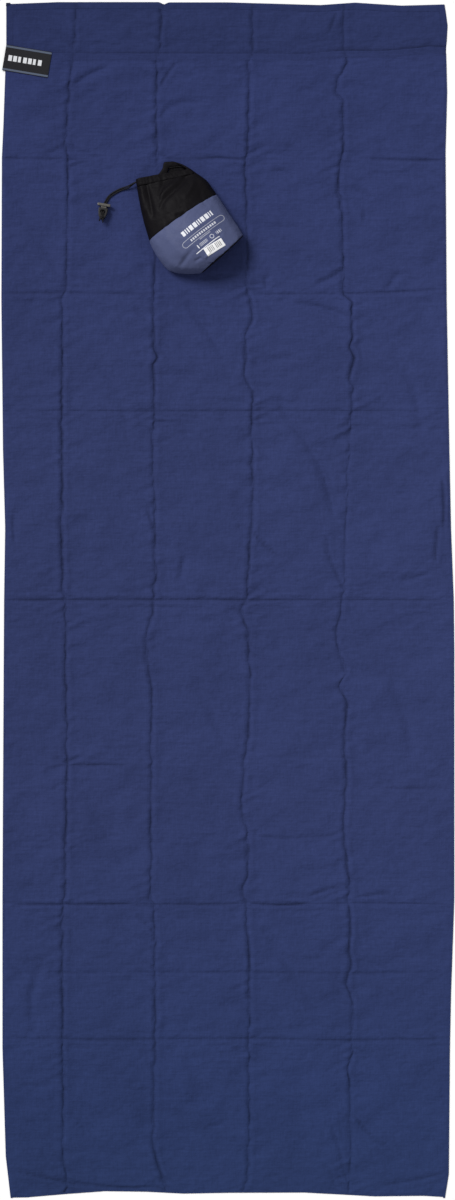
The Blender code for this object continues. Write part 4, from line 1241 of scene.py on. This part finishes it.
def row_levels(low, high, lines, spacing):
    """Rows from low to high that crowd beside each line between them. Beside the folds they are
    a millimetre apart."""
    folds = [fold + step for fold in (HEAD_FOLD, 0.0, FOOT_FOLD) for step in (-0.005, 0, 0.005)]
    knots = sorted({low, high} | {y for y in (*lines, *folds) if low < y < high})
    levels = [np.array([low])]
    for a, b in zip(knots[:-1], knots[1:]):
        cells = max(round((b - a) / spacing), 5 if b - a < 0.006 else 2)
        levels.append(a + (b - a) * crowd(np.linspace(0, 1, cells + 1)[1:]))
    return np.concatenate(levels)


def creased_grid(low, high, lines, spacing, cells, inset):
    """x, y of points in rows from low to high, in columns between the edges and the creases."""
    y = row_levels(low, high, lines, spacing)
    stops = [left_at(y) + inset, *(crease_at(k, y)[0] for k in range(len(LONG_CREASES))),
             right_at(y) - inset]
    columns = [stops[0][:, None]]
    for a, b, count in zip(stops[:-1], stops[1:], cells):
        share = crowd(np.linspace(0, 1, count + 1)[1:])
        columns.append(a[:, None] + (b - a)[:, None] * share)
    x = np.concatenate(columns, 1)
    return x, np.repeat(y[:, None], x.shape[1], 1)


def layer_grid(low, high, spacing, cells, inset):
    """A layer's points. The lowest and highest rows bend to the foot's and the mouth's own
    edge."""
    x, y = creased_grid(low, high, CROSS_LINES, spacing, cells, inset)
    near_foot = ease((FOOT + 0.16 - y) / 0.16)
    y = y + (foot_edge(x) - FOOT) * near_foot
    near_mouth = ease((y - MOUTH + 0.10) / 0.10) * (y < MOUTH + 0.001)
    return x, y + (mouth_edge(x) - MOUTH) * near_mouth


def roll_off(x, y, inset):
    """Drop in millimetres where cloth turns over at the side and foot edges: the side of a
    quarter circle."""
    off = np.minimum(x - left_at(y), right_at(y) - x)
    off = np.minimum(off, y - foot_edge(x)) - inset
    t = 1 - np.clip(off / 0.005, 0, 1)
    return 1 - np.sqrt(np.maximum(1 - t * t, 0))


HEM_WIDTH, INSET = 0.012, 0.002
ROWS = {"upper": (SPLITS[0], MOUTH - HEM_WIDTH), "middle": (SPLITS[1], SPLITS[0]),
        "lower": (FOOT + INSET, SPLITS[1])}
NODES = {"upper": "head_half", "middle": "middle", "lower": "foot"}


def join(piece, part):
    """Ride on the head half for the upper part; bake any other part's place into its mesh."""
    if part == "upper":
        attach(piece, "head_half")
    elif part == "middle":
        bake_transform(piece)
    elif part == "lower":
        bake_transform(piece)
    else:
        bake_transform(piece)


def front_top(x, y):
    """Level of the front layer's upper side."""
    height, crease = cloth_relief(x, y)
    puckers = waves(x / 0.006, y / 0.0065, 61) * np.exp(-np.minimum(
        x - left_at(y), right_at(y) - x) / 0.010) * 0.30
    high = FRONT_HIGH + HEAD_RISE * ease((y - 0.03) / 0.08)
    level = settle(height + puckers, x, y, FRONT_LOW, high, PRESSED_LEVEL)
    level = level - roll_off(x, y, INSET) * (level - 1.15)
    return level * MM, crease


def tilt_of(x, y):
    """Slopes of the full relief, eased so that steep ones grow less: 3.4 s / (1 + 5 |s|). The
    layer itself is kept nearly flat for folding, so this leans its shading the rest of the
    way."""
    height, _ = cloth_relief(x, y)
    points = grid_of(x, y, height * MM)
    normal = np.cross(np.gradient(points, axis=1), np.gradient(points, axis=0))
    slope = normal[..., :2] / normal[..., 2:]
    steep = np.linalg.norm(slope, axis=-1, keepdims=True)
    lean = 3.4 * slope / (1 + 5 * steep) * (1 - pressed(x, y))[..., None]
    return np.concatenate([lean, 0 * steep], -1).reshape(-1, 3)


def dress(piece, x, y, crease, upper=0.0, lower=0.0):
    """Store what the cotton reads: each point's place on the flat cloth, how creased it is, and
    the tilt of the slab's upper and lower side, as shares of tilt_of."""
    add_attribute(piece, "cloth", np.tile(grid_of(x, y, crease).reshape(-1, 3), (2, 1)))
    tilt = tilt_of(x, y)
    add_attribute(piece, "tilt", np.concatenate([upper * tilt, lower * tilt]))


liner = {}
for part, (low, high) in ROWS.items():
    x, y = layer_grid(low, high, FRONT_SPACING, PANEL_CELLS, INSET)
    level, crease = front_top(x, y)
    front = slab(f"front_cloth_{part}", grid_of(x, y, level), CLOTH, cotton)
    dress(front, x, y, crease, upper=1.0)
    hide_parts(f"front_{NODES[part]}")
    join(front, part)
    liner[f"front_cloth_{part}"] = front

    x, y = layer_grid(low, min(high, MOUTH - 0.016), BACK_SPACING, BACK_CELLS, INSET)
    back = slab(f"back_cloth_{part}", grid_of(x, y, BACK_LEVEL * MM), CLOTH, cotton)
    dress(back, x, y, 0.7 * cloth_relief(x, y)[1], lower=-1.0)
    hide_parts(f"back_{NODES[part]}")
    join(back, part)
    liner[f"back_cloth_{part}"] = back
    print(f"{part}: front {2 * len(front.data.polygons)} triangles, "
          f"back {2 * len(back.data.polygons)}")

# %% [markdown]
# Above the mouth only the back layer goes on, as a single strip with a hem on three sides. It
# slips under the mouth, so it lies flat there and gets its own relief only where it shows.

# %% Head strip


def strip_top(x, y):
    """Level of the strip's upper side in metres: flat under the mouth, then the usual relief."""
    height, crease = cloth_relief(x, y)
    shown = ease((y - mouth_edge(x)) / 0.012)
    level = settle(0.8 * height, x, y, 0.38, 1.25, 0.9)
    # Painted shadow: a dark line on the strip just above the mouth's edge, stronger on the right,
    # passed on as crease value.
    shade = 0.50 + 0.50 * ease((x - 0.16) / 0.04)
    painted_mouth_shadow = shade * np.exp(-np.abs(y - mouth_edge(x) - 0.001) / 0.0026)
    level = BACK_LEVEL + (level - BACK_LEVEL) * shown
    return level * MM, np.maximum(crease * shown, painted_mouth_shadow)


STRIP_HEM, STRIP_SPACING = 0.0114, 0.0036
x, y = creased_grid(MOUTH - 0.014, HEAD - STRIP_HEM, (), STRIP_SPACING, PANEL_CELLS, STRIP_HEM)
y = y + (head_edge(x) - HEAD) * ease((y - MOUTH - 0.01) / 0.06)
level, crease = strip_top(x, y)
strip = slab("head_strip_cloth", grid_of(x, y, level), CLOTH, cotton)
dress(strip, x, y, crease, upper=ease((y.reshape(-1, 1) - MOUTH) / 0.01))
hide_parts("head_strip")
join(strip, "strip")
print(f"head strip: {2 * len(strip.data.polygons)} triangles")

# %% [markdown]
# ## Hems, side seams and stitches
#
# A hem is cloth folded over twice and stitched down, so it is thicker, rounded at its fold and a
# little puckered by its thread. All hems and seams come from one function: a flat, rounded
# section carried along an edge. The stitches are real little threads, one short capsule each,
# because a painted dashed line would vanish when light falls across it.

# %% Hems and seams


def hem(name, edge, inward, width, under, top_of, node, part):
    """A rounded flat section along an edge. Offsets go inwards from the fold; the top follows
    top_of(x, y) and falls off as a quarter circle at the fold. A hem from side to side keeps
    its ends on the side edges."""
    share = np.array((0.0, 0.012, 0.04, 0.10, 0.25, 0.45, 0.65, 0.80, 0.90, 0.96, 1.0))
    drop = 1 - np.sqrt(1 - (1 - np.minimum(share / 0.10, 1))**2)
    plan = edge[:, None] + np.asarray(inward) * (share * width)[None, :, None]
    if inward[0] == 0:
        (x0, y0), (x1, y1) = edge[0], edge[-1]
        left = left_at(plan[..., 1]) + x0 - left_at(y0)
        right = right_at(plan[..., 1]) + x1 - right_at(y1)
        along = ((edge[:, 0] - x0) / (x1 - x0))[:, None]
        plan[..., 0] = left + along * (right - left)
    top, crease = top_of(plan[..., 0], plan[..., 1])
    middle = (top + under) / 2
    top = top - drop * (top - middle)
    low = under + drop * (middle - under)
    px, py = plan[..., 0], plan[..., 1]
    rings = np.concatenate([grid_of(px, py, top), grid_of(px, py, low)[:, :0:-1]], 1)
    crease = np.concatenate([crease, 0 * crease[:, 1:]], 1)
    piece = tube(name, rings, hem_cotton, 60)
    add_attribute(piece, "cloth", grid_of(rings[..., 0], rings[..., 1], crease))
    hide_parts(node)
    join(piece, part)
    return piece


def along_y(low, high, side):
    """Points up a side edge from low to high; side is -1 at the left and 1 at the right."""
    y = row_levels(low, high, (), 0.004)
    return np.stack([left_at(y) if side < 0 else right_at(y), y], 1)


def along_x(y_of, left, right, spacing=0.0035):
    x = np.linspace(left, right, round((right - left) / spacing) + 1)
    return np.stack([x, y_of(x)], 1)


MOUTH_STITCH_IN, HEAD_STITCH_IN = 0.0108, 0.0105


def mouth_top(x, y):
    """Top of the mouth's hem: the front layer, raised, tugged and dented by its thread."""
    level, crease = front_top(x, y)
    tug = 0.16 * waves(x / 0.0055, y / 0.02, 71) - 0.12 * np.exp(
        -((mouth_edge(x) - y - MOUTH_STITCH_IN) / 0.0006)**2)
    return level + (0.12 + tug) * MM, crease


def head_top(x, y):
    """Top of the head's hems: the strip, raised, tugged and dented by its thread."""
    level, crease = strip_top(x, y)
    edge = np.minimum(np.minimum(x - left_at(y), right_at(y) - x), head_edge(x) - y)
    tug = 0.16 * waves(x / 0.0055, y / 0.0055, 72) - 0.2 * np.exp(
        -((edge - HEAD_STITCH_IN) / 0.0006)**2)
    return level + (0.36 + tug) * MM, crease


def bead_top(x, y):
    """Top of the side and foot seams."""
    return (1.46 + 0.14 * waves(x / 0.007, y / 0.008, 73)) * MM, 0 * x


# Widths and undersides in metres.
SEAM_WIDTH, SEAM_UNDER, HEM_UNDER, MOUTH_UNDER = 0.0034, 0.00003, 0.00004, 0.0007
LEFT_TOP, RIGHT_TOP = float(left_at(MOUTH)) + 0.0005, float(right_at(MOUTH)) - 0.0005
HEAD_LEFT, HEAD_RIGHT = float(left_at(HEAD)), float(right_at(HEAD))
mouth_hem = hem("mouth_hem_fold", along_x(mouth_edge, LEFT_TOP, RIGHT_TOP), (0, -1),
                HEM_WIDTH + 0.0005, MOUTH_UNDER, mouth_top, "mouth_hem", "upper")
head_hem = hem("head_hem_top_fold", along_x(head_edge, HEAD_LEFT, HEAD_RIGHT), (0, -1),
               HEM_WIDTH, HEM_UNDER, head_top, "head_hem_top", "strip")
hems = {"mouth": mouth_hem, "head": head_hem}
for word, side in (("left", -1), ("right", 1)):
    corner = float(head_edge(side * (WIDTH / 2 - 0.008))) - HEM_WIDTH + 0.0012
    edge = along_y(MOUTH - 0.010, corner, side)
    hems[word] = hem(f"head_hem_{word}_fold", edge, (-side, 0), HEM_WIDTH, HEM_UNDER, head_top,
                     f"head_hem_{word}", "strip")
    for part, (low, high) in ROWS.items():
        high = high if part != "upper" else MOUTH - 0.0005
        edge = along_y(low - (INSET if part == "lower" else 0), high, side)
        seam = hem(f"seam_{word}_{part}_fold", edge, (-side, 0), SEAM_WIDTH, SEAM_UNDER, bead_top,
                   f"seam_{word}_{NODES[part]}", part)
        liner[f"seam_{word}_{part}"] = seam
liner["seam_foot"] = hem(
    "foot_seam_fold", along_x(foot_edge, float(left_at(FOOT)), float(right_at(FOOT))),
    (0, 1), SEAM_WIDTH, SEAM_UNDER, bead_top, "foot_seam", "lower")
# The hem's end is bunched up at the left corner of the head.
down, around, unit = ball(16, 28, 0.08)
bunch = unit * (1 + 0.22 * np.sin(4 * around + 3 * down))[..., None]
bunch = bunch * (0.0042, 0.0034, 0.0006) + (HEAD_LEFT + 0.0036, HEAD - 0.0048, 0.0011)
hems["bunch"] = tube("head_corner_bunch", bunch, hem_cotton)
# Its crease value of 0.9 darkens the bunch all over: painted shade.
add_attribute(hems["bunch"], "cloth", grid_of(bunch[..., 0], bunch[..., 1], 0.9))
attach(hems["bunch"], "head_flap")
print(f"{len(hems)} hems and 7 lengths of seam")

# %% Stitches


def stitches(name, lines, pitch=0.0030, length=0.0021, radius=0.00019):
    """One closed capsule each pitch along each line of surface points: rings at -1, -0.8, 0.8
    and 1 times half the length, six points round, sunk by half its radius."""
    reach = np.array((-1.0, -0.8, 0.8, 1.0)) * length / 2
    round_off = np.array((0.35, 1.0, 1.0, 0.35)) * radius
    angle = np.arange(6) * math.pi / 3
    centres, aheads = [], []
    for line in lines:
        spots = spaced_path(line, pitch)
        centres.append((spots[:-1] + spots[1:]) / 2)
        step = np.diff(spots, axis=0)
        aheads.append(step / np.linalg.norm(step, axis=1, keepdims=True))
    centre, ahead = np.concatenate(centres), np.concatenate(aheads)
    side = np.cross(ahead, (0, 0, 1.0))
    up = np.cross(side, ahead)
    wheel = (np.cos(angle)[None, :, None] * side[:, None]
             - np.sin(angle)[None, :, None] * up[:, None])
    points = (centre[:, None, None] + ahead[:, None, None] * reach[None, :, None, None]
              + wheel[:, None] * round_off[None, :, None, None])
    index = np.arange(24).reshape(4, 6)
    quads = grid_quads(np.concatenate([index, index[:, :1]], 1))
    starts = np.arange(len(centre))[:, None, None] * 24
    faces = (quads[None] + starts).reshape(-1, 4).tolist()
    for cap in (index[0, ::-1], index[-1]):
        faces += (cap[None] + starts[:, :, 0]).tolist()
    piece = add_piece(name, points, faces, thread)
    print(f"{name}: {len(centre)} stitches")
    return piece


def on_surface(plan, top_of):
    """Points on a hem's top, raised by part of a thread."""
    level, _ = top_of(plan[:, 0], plan[:, 1])
    return np.concatenate([plan, level[:, None] + 0.00008], 1)


line = along_x(mouth_edge, LEFT_TOP + 0.002, RIGHT_TOP - 0.002, 0.001) - (0, MOUTH_STITCH_IN)
mouth_stitches = stitches("mouth_stitches", [on_surface(line, mouth_top)])
join(mouth_stitches, "upper")
lines = [along_x(head_edge, HEAD_LEFT + 0.002, HEAD_RIGHT - 0.002, 0.001)
         - (0, HEAD_STITCH_IN)]
for side in (-1, 1):
    lines.append(along_y(MOUTH + 0.004, HEAD - 0.012, side) - (side * HEAD_STITCH_IN, 0))
lines = [on_surface(line, head_top) for line in lines]
head_stitches = stitches("head_stitches", lines)
join(head_stitches, "strip")

# %% [markdown]
# ## Label
#
# The woven label is a doubled length of tape caught in the side seam at the mouth. It is a small
# slab, a little arched where it leaves the seam and lifted at its free end.

# %% Label
across = np.linspace(0.0006, LABEL_SIZE[0], 60)[None, :]
up = np.linspace(-0.5, 0.5, 34)[:, None] * LABEL_SIZE[1]
across, up = across + 0 * up, up + 0 * across
free = ease((across - 0.035) / 0.05)
level = 2.72 + 0.42 * free + 0.10 * waves(across / 0.014, up / 0.012, 81) * ease(across / 0.02)
level = level - 0.25 * np.exp(-(LABEL_SIZE[0] - across) / 0.0015)
ragged = 0.0003 * waves(across / 0.004, up * 0, 82) * np.sign(up) * (np.abs(up) > 0.022)
x, y = turned(across, up + ragged, LABEL_TURN)
label = slab("woven_label", grid_of(LABEL_AT[0] + x, LABEL_AT[1] + y, level * MM),
             LABEL_THICKNESS, tape)
stand_in(label, "label", "label_tab")

# %% [markdown]
# ## What is cloth
#
# Each sheet's name is printed with the size it was cut to and whether it lies flat or gathered.
# The seams and hems sewn to each part of the liner are gathered in a list that nothing reads.

SACK_GIRTH = 0.31


def declare(piece, flat, held):
    print(f"{piece.name}: cut {flat[0]:.3f} x {flat[1]:.3f} m, {held}")


for part, (low, high) in ROWS.items():
    sewn = [liner[f"seam_left_{part}"], liner[f"seam_right_{part}"]]
    if part == "lower":
        sewn.append(liner["seam_foot"])
    if part == "upper":
        sewn += [mouth_hem, mouth_stitches]
    cut = (WIDTH, round(high - low, 3))
    declare(liner[f"front_cloth_{part}"], cut, "laid")
    declare(liner[f"back_cloth_{part}"], cut, "laid")
declare(strip, (WIDTH, round(HEAD - MOUTH, 3)), "laid")
declare(label, LABEL_SIZE, "laid")
declare(upper_panel, (SACK_GIRTH, 0.080), "gathered")
declare(lower_panel, (SACK_GIRTH, 0.109), "laid")

# %% [markdown]
# ## Table and light
#
# The table is a plain pale surface. One broad light from the upper left, like a large window,
# gives each crease a dark and a light side and the sack a soft shadow, and an even glow from all
# round fills the shadows in. A sun lamp with a wide angle lights the whole length evenly, where
# an area lamp near the head would leave the foot darker.

# %% Table and light
floor_finish = grainy("pale_table", (0.90, 0.90, 0.90), (3, 3, 3), 3.0, (0.890, 0.890, 0.890),
                      (0.910, 0.910, 0.910), Roughness=0.9, Specular_IOR_Level=0.2)
FLOOR = 60.0
floor = add_piece("table", [(-FLOOR, -FLOOR, 0), (FLOOR, -FLOOR, 0), (FLOOR, FLOOR, 0),
                            (-FLOOR, FLOOR, 0)], [(0, 1, 2, 3)], floor_finish)
floor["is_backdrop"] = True

SUN_FROM = np.array((-0.66, 0.56, 0.92))
sun_data = bpy.data.lights.new("window", "SUN")
sun_data.energy = 2.65
sun_data.angle = math.radians(24)
sun = bpy.data.objects.new("window", sun_data)
sun.location = SUN_FROM * 4
sun.rotation_mode = "QUATERNION"
sun.rotation_quaternion = Vector(SUN_FROM).to_track_quat("Z", "Y")
bpy.context.scene.collection.objects.link(sun)

world = bpy.data.worlds.new("glow")
world.use_nodes = True
glow = world.node_tree.nodes["Background"].inputs
glow["Color"].default_value = (1.0, 1.0, 1.0, 1.0)
glow["Strength"].default_value = 0.52
bpy.context.scene.world = world
print("table, window light and glow")

# %% Finish
low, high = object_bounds()
print("size", [round(b - a, 4) for a, b in zip(low, high)])
